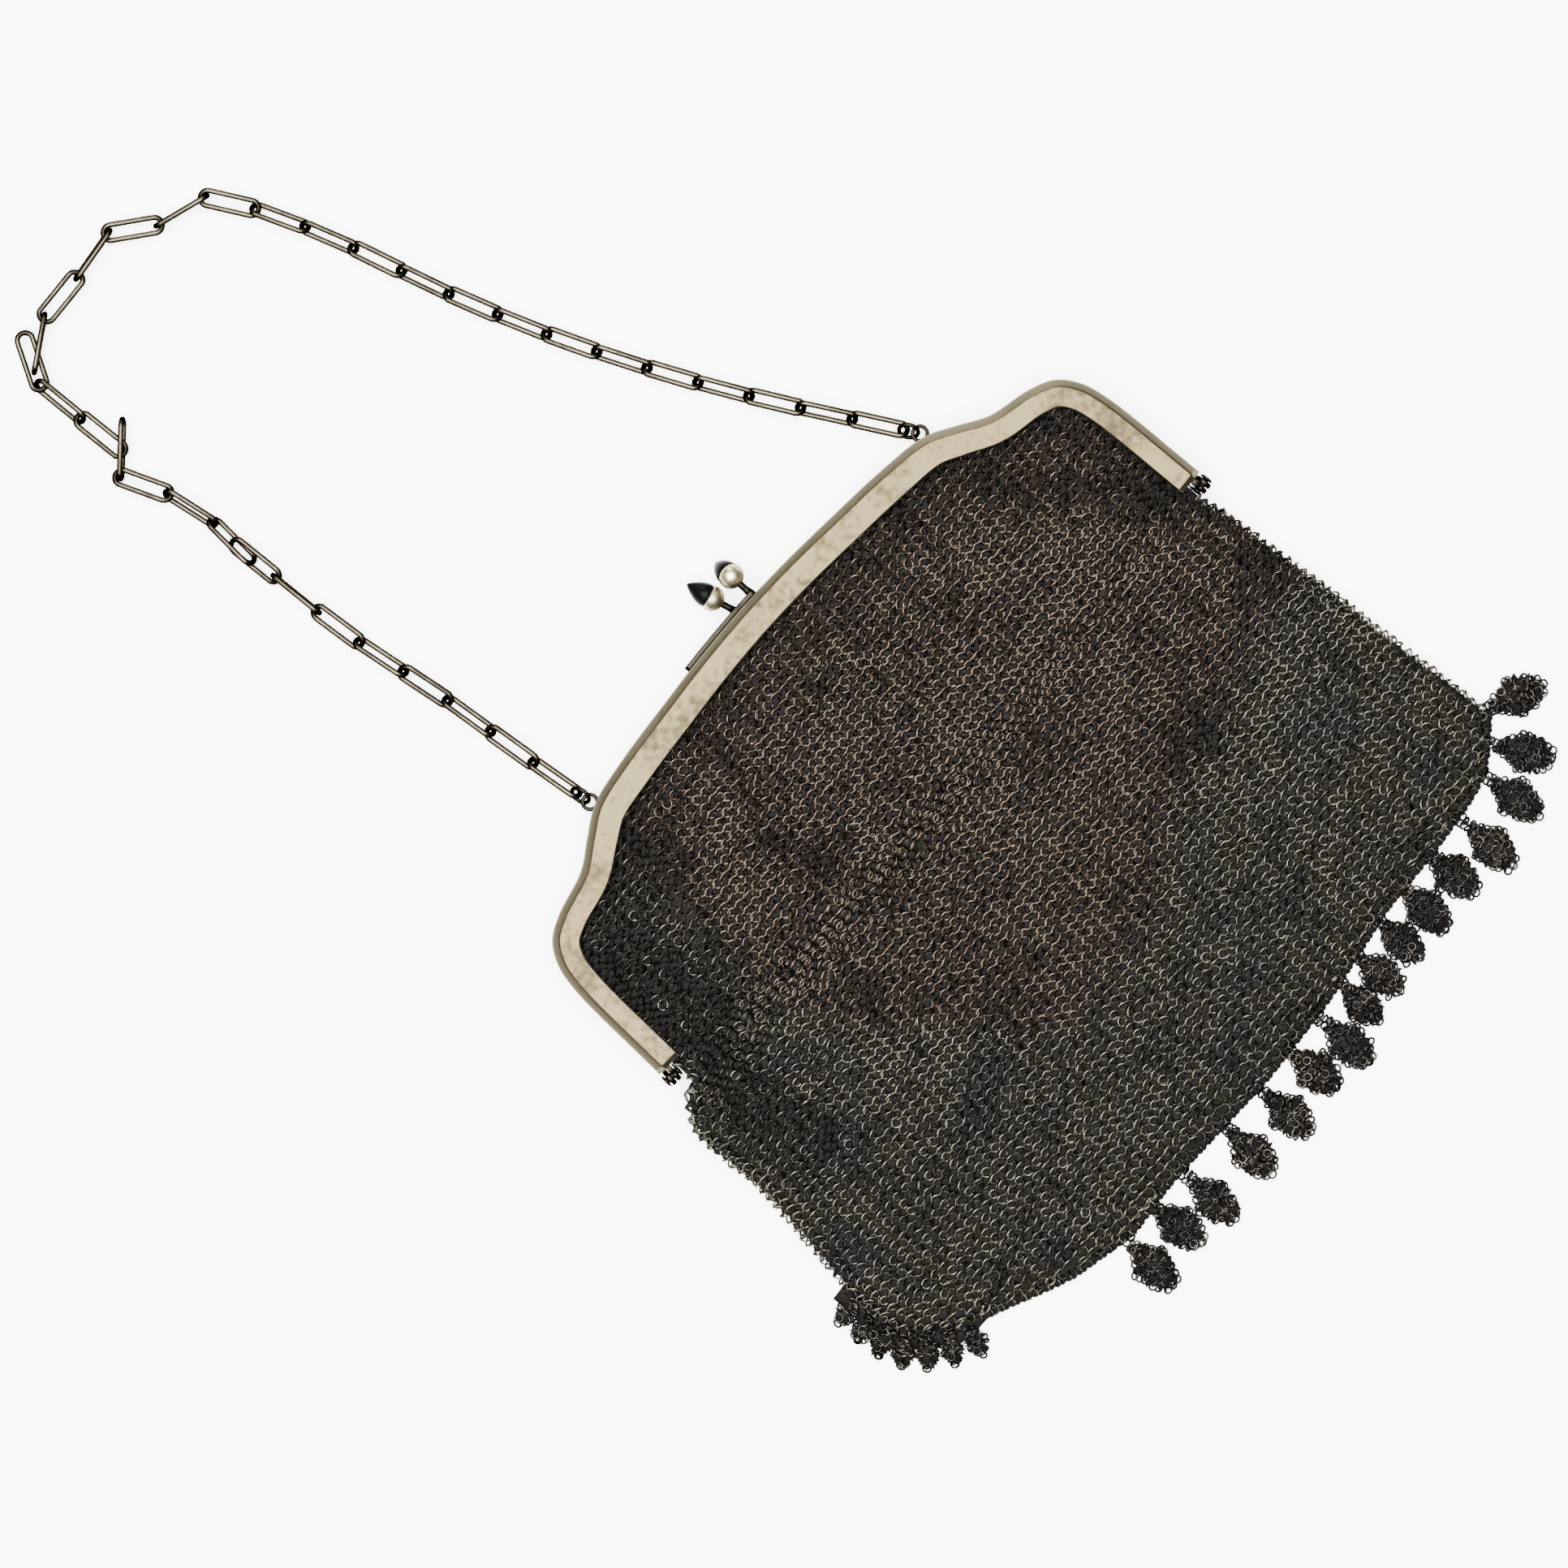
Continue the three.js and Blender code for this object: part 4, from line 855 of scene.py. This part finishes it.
# %% [markdown]
# In such a mesh the rings of one column lean one way and those of the next the other way, which gives the
# zigzag of the real bag. So a ring needs its place, the directions along its row and down its column, and
# a lean. Small random changes, from a fixed seed, keep it from looking printed.

# %% Where each ring lies and leans
RING_DIAMETER = 2.05 * MM
MESH_WIRE = 0.44 * MM
LEAN, LEAN_SPREAD, SWAY_SPREAD = math.radians(42), 0.22, 0.20

rng = np.random.default_rng(7)


def leant(first, second, angles):
    """Directions turned from the first towards the second."""
    return np.cos(angles)[..., None] * first + np.sin(angles)[..., None] * second


across_dir = unit(np.roll(centres, -2, 1) - np.roll(centres, 2, 1))
down_dir = unit(np.gradient(centres, axis=0))
normal = unit(np.cross(down_dir, across_dir))
down_dir = unit(np.cross(across_dir, normal))
lean = np.where(is_odd[..., 0], LEAN, -LEAN) + rng.normal(0, LEAN_SPREAD, centres.shape[:2])
sway = rng.normal(0, SWAY_SPREAD, centres.shape[:2])
ring_v = leant(down_dir, normal, lean)
ring_u = leant(across_dir, leant(normal, -down_dir, lean), sway)
ring_n = np.cross(ring_u, ring_v)

# rings are only where the bag is: inside the grip of the frame, and above the bottom edge
x, y = centres[..., 0], centres[..., 1]
across = (x - side_x(y, -1)) / (side_x(y, 1) - side_x(y, -1))
over_bottom = y > bottom_y(np.clip(across, 0, 1)) + 0.3 * MM
line = on_frame(np.linspace(0, 1, 600), 0)
rim_y = np.interp(x, line[:, 0], line[:, 1])
inside = (from_frame_edge(x, y) > BAND_ARM - GRIP + 0.2 * MM) & (y < rim_y) | (y < ARM_END_Y)
inside &= (np.abs(x) < FRAME_WIDTH / 2 - BAND_ARM + GRIP) | (y < SIDE_TOP)
kept = over_bottom & inside
is_front = np.broadcast_to(columns < 0.5, kept.shape)
print("rings in front", int((kept & is_front).sum()), "behind", int((kept & ~is_front).sum()))

# %% [markdown]
# The mesh is blackened metal that has been handled: brown in the middle, olive outside it and blue-black in
# clouds. One material mixes those colours by place. Each point of a ring also says how bright it is kept,
# which is painted highlight and painted shade: near black where it is low.

# %% The tarnish of the mesh
def mesh_metal(name, brown, olive, blue_black, black):
    """Blackened ring mesh, browner in the middle where it was handled."""
    made = Finish(name, Metallic=0.9, Specular_Tint=EDGE_TINT)
    x, y, _ = [made.node("SeparateXYZ", {}, {0: made.place}, out=k) for k in range(3)]
    edge = made.noise(45.0, 3.0) * 0.02 - 0.01
    right_of = made.between(x + edge, -0.055, -0.045)
    # the brown patch ends at a line that falls to the middle and climbs again to the right
    floor_left = made.between(y + 1.3 * x + edge, -0.128, -0.113)
    floor_right = made.between(y - 0.32 * x + edge, -0.096, -0.086)
    patch = right_of * floor_left * floor_right
    speckle = made.noise(420.0, 2.0)
    mixed = (patch * (0.75 + 0.5 * speckle)).kept()
    mottle = made.between(made.noise(90.0, 4.0), 0.48, 0.68) * (1.0 - patch)
    base = made.blend(mottle, made.blend(mixed, olive, brown), blue_black)
    # the colour goes near black where the value is low, which is mostly painted shade
    wear_and_shade = made.node("Attribute", {"attribute_name": "wear_and_shade"}, out="Fac")
    made.set(Base_Color=made.blend(wear_and_shade.kept(), black, base), Roughness=0.34 + 0.2 * speckle)
    made.bump(made.noise(5000.0, 2.0), 0.03 * MM)
    return made


ring_metal = mesh_metal(
    "ring_mesh", colour(120, 103, 86), colour(126, 120, 104), colour(86, 88, 87), colour(14, 13, 12)
)
print("finish", ring_metal.material.name)

# %% [markdown]
# Thousands of rings as separate objects would choke any scene, so a band of columns is one mesh: every
# ring's axes times one ring's circle. The rings at the back are a little plainer than those in front.

# %% Rings as joined meshes
def rings(centre, u, v, n, diameter, wire, segments, sides):
    """Points and faces of many rings at once."""
    around, tube = full_turn(segments), full_turn(sides) + math.pi / 2
    c, s = np.cos(around)[None, :, None], np.sin(around)[None, :, None]
    out = c * u[:, None] + s * v[:, None]
    middle = centre[:, None] + diameter / 2 * out
    cb, sb = np.cos(tube)[None, None, :, None], np.sin(tube)[None, None, :, None]
    points = middle[:, :, None] + wire / 2 * (cb * out[:, :, None] + sb * n[:, None, None])
    r, t = np.meshgrid(np.arange(segments), np.arange(sides), indexing="ij")
    r2, t2 = (r + 1) % segments, (t + 1) % sides
    quad = np.stack([r * sides + t, r2 * sides + t, r2 * sides + t2, r * sides + t2], -1).reshape(-1, 4)
    first = np.arange(len(centre))[:, None, None] * segments * sides
    return points.reshape(-1, 3), (quad[None] + first).reshape(-1, 4)


LIT_ARC = (0.1, 0.95)   # heights on a ring, as shares of its radius, where the painted highlight begins and is full
RIB_RISE, LOW_ARC = 0.9, 0.95


def ring_shading(leans, tone_and_shade, ribs, segments, sides):
    """Painted highlight on the arc that stands up and nearly as much on the one that dips, with black painted
    shade between them.
    """
    height = np.sin(full_turn(segments))[None] * np.sign(leans)[:, None]
    high = smoothstep(height + RIB_RISE * ribs[:, None], *LIT_ARC)
    low = LOW_ARC * smoothstep(-height, *LIT_ARC)
    wear_and_shade = np.maximum(high, low) * tone_and_shade[:, None]
    return np.repeat(np.clip(wear_and_shade, 0, 1), sides, axis=1)


MEAN_TONE, CLOUDS, TONE_SPREAD = 0.88, 0.08, 0.42
WAVES = ((120, 170, 0), (-210, 90, 1), (60, -260, 2), (330, 240, 4), (-150, 410, 5))
slow = sum(np.sin(a * x + b * y + c) for a, b, c in WAVES)
lift = fold_lift(x, y)
crease_shade = np.where(y > GATHERED_TO, gather_crease_shade(x, y), 1.0)
left_ribs = smoothstep(-y, 62 * MM, 80 * MM) * (1 - smoothstep(x - side_x(y, -1), 8 * MM, 15 * MM))
tone_and_shade = MEAN_TONE + CLOUDS * slow + 0.5 * left_ribs + rng.normal(0, TONE_SPREAD, centres.shape[:2])
# painted shade in the fold valleys and painted highlight on their crests
tone_and_shade += np.clip(lift / (1.3 * MM), -0.65, 0.25)
rim_gap = from_frame_edge(x, y) - BAND_CROWN
# painted shade along the frame, where its lip hangs over the mesh
rim_shade = 0.3 + 0.7 * smoothstep(rim_gap, -0.5 * MM, 3.5 * MM)
tone_and_shade = np.clip(tone_and_shade * crease_shade, 0.08, 1.4) * np.where(y > ARM_END_Y, rim_shade, 1)
# Under the frame, down the left side and towards the bottom the columns show as ribs: the mesh is crowded
# sideways there, and every second column is painted dark, as shade, and a little darker everywhere else. In
# the middle the rows show instead.
ribs = 1 - smoothstep(rim_gap, 4 * MM, 16 * MM) * smoothstep(x, -66 * MM, -36 * MM) * (
    1 - 0.8 * smoothstep(-y, 72 * MM, 104 * MM)
)
ribs = np.clip(ribs + 0.1 * slow, 0, 1)
tone_and_shade = tone_and_shade * np.where(is_odd[..., 0], 0.72 - 0.57 * ribs, 1)


def lay_rings(name, chosen, segments, sides):
    picked = [a[chosen] for a in (centres, ring_u, ring_v, ring_n)]
    points, faces = rings(*picked, RING_DIAMETER, MESH_WIRE, segments, sides)
    wear_and_shade = ring_shading(lean[chosen], tone_and_shade[chosen], ribs[chosen], segments, sides)
    make_piece(name, points, faces, ring_metal, wear_and_shade=wear_and_shade)
    print(name, int(chosen.sum()), "rings,", 2 * len(faces), "triangles")


for place, low, high in (("left", 0, 1 / 3), ("middle", 1 / 3, 2 / 3), ("right", 2 / 3, 1)):
    for layer, share, segments in (("front", 2 * columns, 9), ("back", 2 - 2 * columns, 7)):
        lay_rings(f"mesh_{layer}_{place}", kept & ((share >= low) & (share < high))[None], segments, 3)

# %% [markdown]
# Between the rings the eye meets the wires underneath, where hardly any light comes back. A thin dark sheet
# of the same shape, just inside the rings, is painted shade for them. It takes the place of the bag's solid,
# and its columns run from the frame's grooves to the bottom fold.

# %% Painted shade inside the mesh
# a near-black finish for painted shade
shade_finish = Finish("mesh_shade", Metallic=0.3, Roughness=0.8, Specular_IOR_Level=0.1)
shade_tones = colour(5, 5, 5), colour(17, 16, 14)
shade_finish.set(Base_Color=shade_finish.blend(shade_finish.noise(900.0), *shade_tones))
INNER_GAP, INNER_WALL = 0.5 * MM, 0.25 * MM
RIM_REACH = HINGE_REACH + 2 * CLEARANCE
rim_span = 1 + 2 * RIM_REACH / edge_length


def rim_place(column):
    along = column * rim_span - RIM_REACH / edge_length
    return on_frame(along, band_width(along) - GRIP)


def bag_plan(column, row, inset=0.0):
    """Places in plan. column: 0 to 1 from the left side; row: 0 to 1 from the rim to the bottom edge."""
    column, row = np.broadcast_arrays(np.asarray(column, float), row)
    rim = rim_place(column)
    reach = rim_place(np.array(1.0))[0]
    across = 0.6 * column + 0.4 * (rim[..., 0] + reach) / (2 * reach)
    bottom = bottom_y(across) + inset
    above = row <= HINGE_ROW
    y = np.where(above, SIDE_TOP, SIDE_TOP + (bottom - SIDE_TOP) * (row - HINGE_ROW) / (1 - HINGE_ROW))
    left, right = side_x(y, -1) + inset, side_x(y, 1) - inset
    x = left + (right - left) * across
    share = np.clip(row / HINGE_ROW, 0, 1)
    x = np.where(above, rim[..., 0] * (1 - share) + x * share, x)
    y = np.where(above, rim[..., 1] * (1 - share) + y * share, y)
    return x, y


inner_columns = 0.5 - 0.5 * np.cos(np.linspace(0, math.pi, 81)) * 0.92 - 0.04 * np.linspace(1, -1, 81)
last_rows = 0.94 + 0.06 * np.sin(np.linspace(0.2, math.pi / 2, 7))
inner_rows = np.concatenate([np.linspace(0, 0.94, 32), last_rows])
plan_x, plan_y = bag_plan(inner_columns[None], inner_rows[:, None], INNER_GAP)
front, back = layer_heights(plan_x, plan_y)
centre_z = (front + back) / 2
front = np.maximum(front - INNER_GAP, centre_z)
back = np.minimum(back + INNER_GAP, centre_z)
layers = [np.stack([plan_x, plan_y, z], -1).reshape(-1, 3) for z in (front, back)]
wide, tall = len(inner_columns), len(inner_rows)
size = wide * tall
faces = []
for r in range(1, tall):
    for c in range(1, wide):
        d = r * wide + c
        faces.append((d - wide - 1, d - 1, d, d - wide))
        faces.append((size + d - wide, size + d, size + d - 1, size + d - wide - 1))
    for c, turn in ((0, 1), (wide - 1, -1)):
        a, b = (r - 1) * wide + c, r * wide + c
        faces.append((a, a + size, b + size, b)[::turn])
for c in range(1, wide):
    a, b = (tall - 1) * wide + c - 1, (tall - 1) * wide + c
    faces.append((b, a, a + size, b + size))
inner = make_piece("mesh_bag_shade_sheet", np.concatenate(layers), faces, shade_finish, ["mesh_bag"])
wall = inner.modifiers.new("wall", "SOLIDIFY")
wall.thickness = INNER_WALL
wall.offset = -1
print("inside of the mesh:", len(faces), "faces")

# %% [markdown]
# Along the bottom the mesh ends in a close row of rings, which follows the edge of the plan. From it hang
# small lozenges of finer rings. Seven at the left are folded under the bag's corner and show only as a
# dark bunch.

# %% The edge that carries the drops
HEM_START = 0.85
DROP_LENGTH, DROPS_PER_HEM = 11.8 * MM, 23.5

hem_points = [np.column_stack(bag_plan(np.zeros(7), np.linspace(HEM_START, 1, 7)))]
hem_points.append(np.column_stack(bag_plan(np.arange(1, 41) / 40, np.ones(40))))
hem_line = np.concatenate(hem_points)
hem_run = lengths_along(hem_line)
drop_width = hem_run[-1] / DROPS_PER_HEM


def on_hem(along, out):
    """Places outside the bag's edge at shares of the hem's length, and the outward direction there."""
    along = np.atleast_1d(along)

    def at(share):
        return at_length(np.clip(share, 0, 1) * hem_run[-1], hem_run, hem_line)

    slope = unit(at(along + 0.02) - at(along - 0.02))
    outwards = np.column_stack([slope[:, 1], -slope[:, 0]])
    return at(along) + outwards * out, outwards


fringe_metal = metal("fringe_metal", colour(78, 72, 64), colour(40, 41, 44), 0.38, 0.9, read_wear_and_shade=True)
HEM_RING, HEM_WIRE = 1.5 * MM, 0.55 * MM
hem_count = int(hem_run[-1] / (1.15 * MM))
hem_along = (np.arange(hem_count) + 0.5) / hem_count
plan, outwards = on_hem(hem_along, 0.75 * MM)
hem_centres = np.column_stack([plan, 0.95 * MM + 0.15 * MM * rng.normal(size=hem_count)])
UPRIGHT = np.array([0, 0, 1.0])
out3 = np.column_stack([outwards, np.zeros(hem_count)])
lean = np.where(np.arange(hem_count) % 2, 0.6, -0.6) + rng.normal(0, 0.12, hem_count)
hem_u = leant(np.cross(out3, UPRIGHT), UPRIGHT, lean)
hem_shape = rings(hem_centres, hem_u, out3, np.cross(hem_u, out3), HEM_RING, HEM_WIRE, 10, 3)
make_piece("hem_rings", *hem_shape, fringe_metal, wear_and_shade=0.8)

# a dark strip behind the rings is painted shade where the wires crowd, and is widest at the folded corner
BACKING_IN, BACKING_OUT, CORNER_OUT = 0.6 * MM, 1.4 * MM, 2.3 * MM
BACKING_LOW, BACKING_HIGH = 0.5 * MM, 0.9 * MM
rows = []
for along in np.linspace(0, 1, 161):
    reach = BACKING_OUT + CORNER_OUT * (1 - smoothstep(along, 0.13, 0.17))
    near, far = [on_hem(along, out)[0][0] for out in (-BACKING_IN, reach)]
    rows.append([(*near, BACKING_LOW), (*far, BACKING_LOW), (*far, BACKING_HIGH), (*near, BACKING_HIGH)])
make_piece("hem_shade_strip", *loft(np.array(rows)), shade_finish)
print("hem of", hem_count, "rings,", round(hem_run[-1] / MM), "mm long")

# %% [markdown]
# A drop is an outline filled with rings on a staggered lattice, two layers deep, because the real ones look
# like small closed bags. The rings lean to and fro and are shaken a little, so the outline stays ragged. A
# thin dark leaf inside is painted shade, where the wires lie too close to be told apart.

# %% The drops
# along: share of the hem; hang: share of the length from the edge to the drop's middle; lean: degrees; size
DROPS = [
    (0.021, 0.34, -88, 0.55), (0.041, 0.37, -80, 0.60), (0.061, 0.38, -70, 0.63), (0.081, 0.37, -59, 0.60),
    (0.101, 0.40, -48, 0.65), (0.121, 0.38, -35, 0.62), (0.141, 0.37, -20, 0.58), (0.327, 0.74, -3, 1.0),
    (0.371, 0.63, 4, 1.0), (0.418, 0.81, 0, 1.0),
    (0.484, 0.75, -4, 1.0), (0.536, 0.76, 0, 1.0), (0.586, 0.64, 3, 1.0), (0.632, 0.79, 0, 1.0),
    (0.674, 0.59, -3, 0.9), (0.707, 0.59, 2, 0.95), (0.749, 0.59, 0, 0.95), (0.792, 0.61, -2, 1.0),
    (0.835, 0.59, 3, 1.0), (0.885, 0.82, 0, 1.0), (0.936, 0.79, 6, 1.0), (0.966, 0.72, 28, 1.0),
    (0.998, 0.60, 66, 1.0),
]
DROP_RING, DROP_WIRE = 1.55 * MM, 0.5 * MM
DROP_SEGMENTS, DROP_SIDES = 9, 3
LATTICE = (1.36 * MM, 1.16 * MM)
# along the drop from the neck to the point, and the half width there, as shares
OUTLINE = np.array([(-1.0, 0.1), (-0.86, 0.44), (-0.30, 0.94), (0.22, 0.98), (0.75, 0.40), (1.0, 0.26)])


def drop_axes(along, hang, lean):
    """The middle of a drop in plan, and its directions to the right and up."""
    right = np.array([math.cos(math.radians(lean)), math.sin(math.radians(lean))])
    up = np.array([-right[1], right[0]])
    return on_hem(along, 0)[0][0] - hang * DROP_LENGTH * up, right, up


def drop_rings(along, hang, lean, size):
    """Middles and leans of one drop's rings, in plan and height."""
    half_w, half_l = size * drop_width / 2 - 0.5 * MM, size * DROP_LENGTH / 2 - 0.5 * MM
    found = []
    for layer in (0, 1):
        for r in range(-6, 7):
            for c in range(-5, 6):
                px = (c + 0.5 * ((r + layer) % 2)) * LATTICE[0]
                py = (r + 0.5 * layer) * LATTICE[1]
                limit = half_w * np.interp(py / half_l, OUTLINE[:, 0], OUTLINE[:, 1])
                if abs(py) <= half_l and abs(px) <= limit + 0.15 * MM:
                    found.append((px, py, (0.62, 1.2)[layer] * MM, (1 if r % 2 else -1) * 0.5))
    neck = hang * DROP_LENGTH - 0.6 * MM
    for py in np.arange(half_l - 1.4 * MM, neck, 0.95 * MM):
        for px in (-0.55 * MM, 0.55 * MM):
            found.append((px, py, 0.9 * MM, 0.9 * (1 if len(found) % 2 else -1)))
    local = np.array(found)
    place, right, up = drop_axes(along, hang, lean)
    plan = place + local[:, :1] * right + local[:, 1:2] * up
    return np.column_stack([plan, local[:, 2]]), local[:, 3], right, up


CORE_POINTS = 44
shape = np.random.default_rng(11)


def drop_core(along, hang, lean, size):
    """The dark leaf of painted shade inside a drop, with a scalloped edge."""
    place, right, up = drop_axes(along, hang, lean)
    side = OUTLINE[1:] * (size * DROP_LENGTH / 2 - 0.3 * MM, size * drop_width / 2 - 0.3 * MM)
    corners = np.concatenate([side, side[::-1] * (1, -1)])
    corners = np.vstack([corners, corners[:1]])
    run = lengths_along(corners)
    outline = at_length(np.linspace(0, run[-1], CORE_POINTS, endpoint=False), run, corners)
    bulge = np.where(np.arange(CORE_POINTS) % 2, 0.5, -0.3) * MM + shape.normal(0, 0.22 * MM, CORE_POINTS)
    outline += unit(outline) * bulge[:, None]
    plan = place + outline[:, 1:] * right + outline[:, :1] * up
    return loft(np.array([np.column_stack([plan, np.full(len(plan), z)]) for z in (0.7 * MM, 1.0 * MM)]))


shaken = 0.16 * MM
parts = []
for row in DROPS:
    middles, leans, right, up = drop_rings(*row)
    count = len(middles)
    middles[:, :2] += rng.normal(0, shaken, (count, 2))
    middles[:, 2] += np.clip(rng.normal(0, 0.12 * MM, count), -0.15 * MM, 0.3 * MM)
    leans = leans + rng.normal(0, 0.2, count)
    twist = rng.normal(0, 0.3, count)
    u, v = leant(np.array([*right, 0]), UPRIGHT, twist), leant(np.array([*up, 0]), UPRIGHT, leans)
    n = unit(np.cross(u, v))
    v = np.cross(n, u)
    parts.append(rings(middles, u, v, n, DROP_RING, DROP_WIRE, DROP_SEGMENTS, DROP_SIDES))
for name, chosen in (("drops_left", parts[:7]), ("drops_middle", parts[7:15]), ("drops_right", parts[15:])):
    points, faces = joined(*chosen)
    ring_points = DROP_SEGMENTS * DROP_SIDES
    wear_and_shade = np.repeat(shape.uniform(0.1, 1.0, len(points) // ring_points), ring_points)
    make_piece(name, points, faces, fringe_metal, ["fringe"], wear_and_shade)
    print(name, 2 * len(faces), "triangles")
make_piece("drop_shade_cores", *joined(*[drop_core(*row) for row in DROPS]), shade_finish)

# %% [markdown]
# The inner sheet is one strip as wide as the bag, folded at the bottom and closed at the sides. Last, the box
# of the solids is printed.

# %% Sizes and the end
print("CAD box mm", [round(x / MM, 1) for x in (*cad_low, *cad_high)])
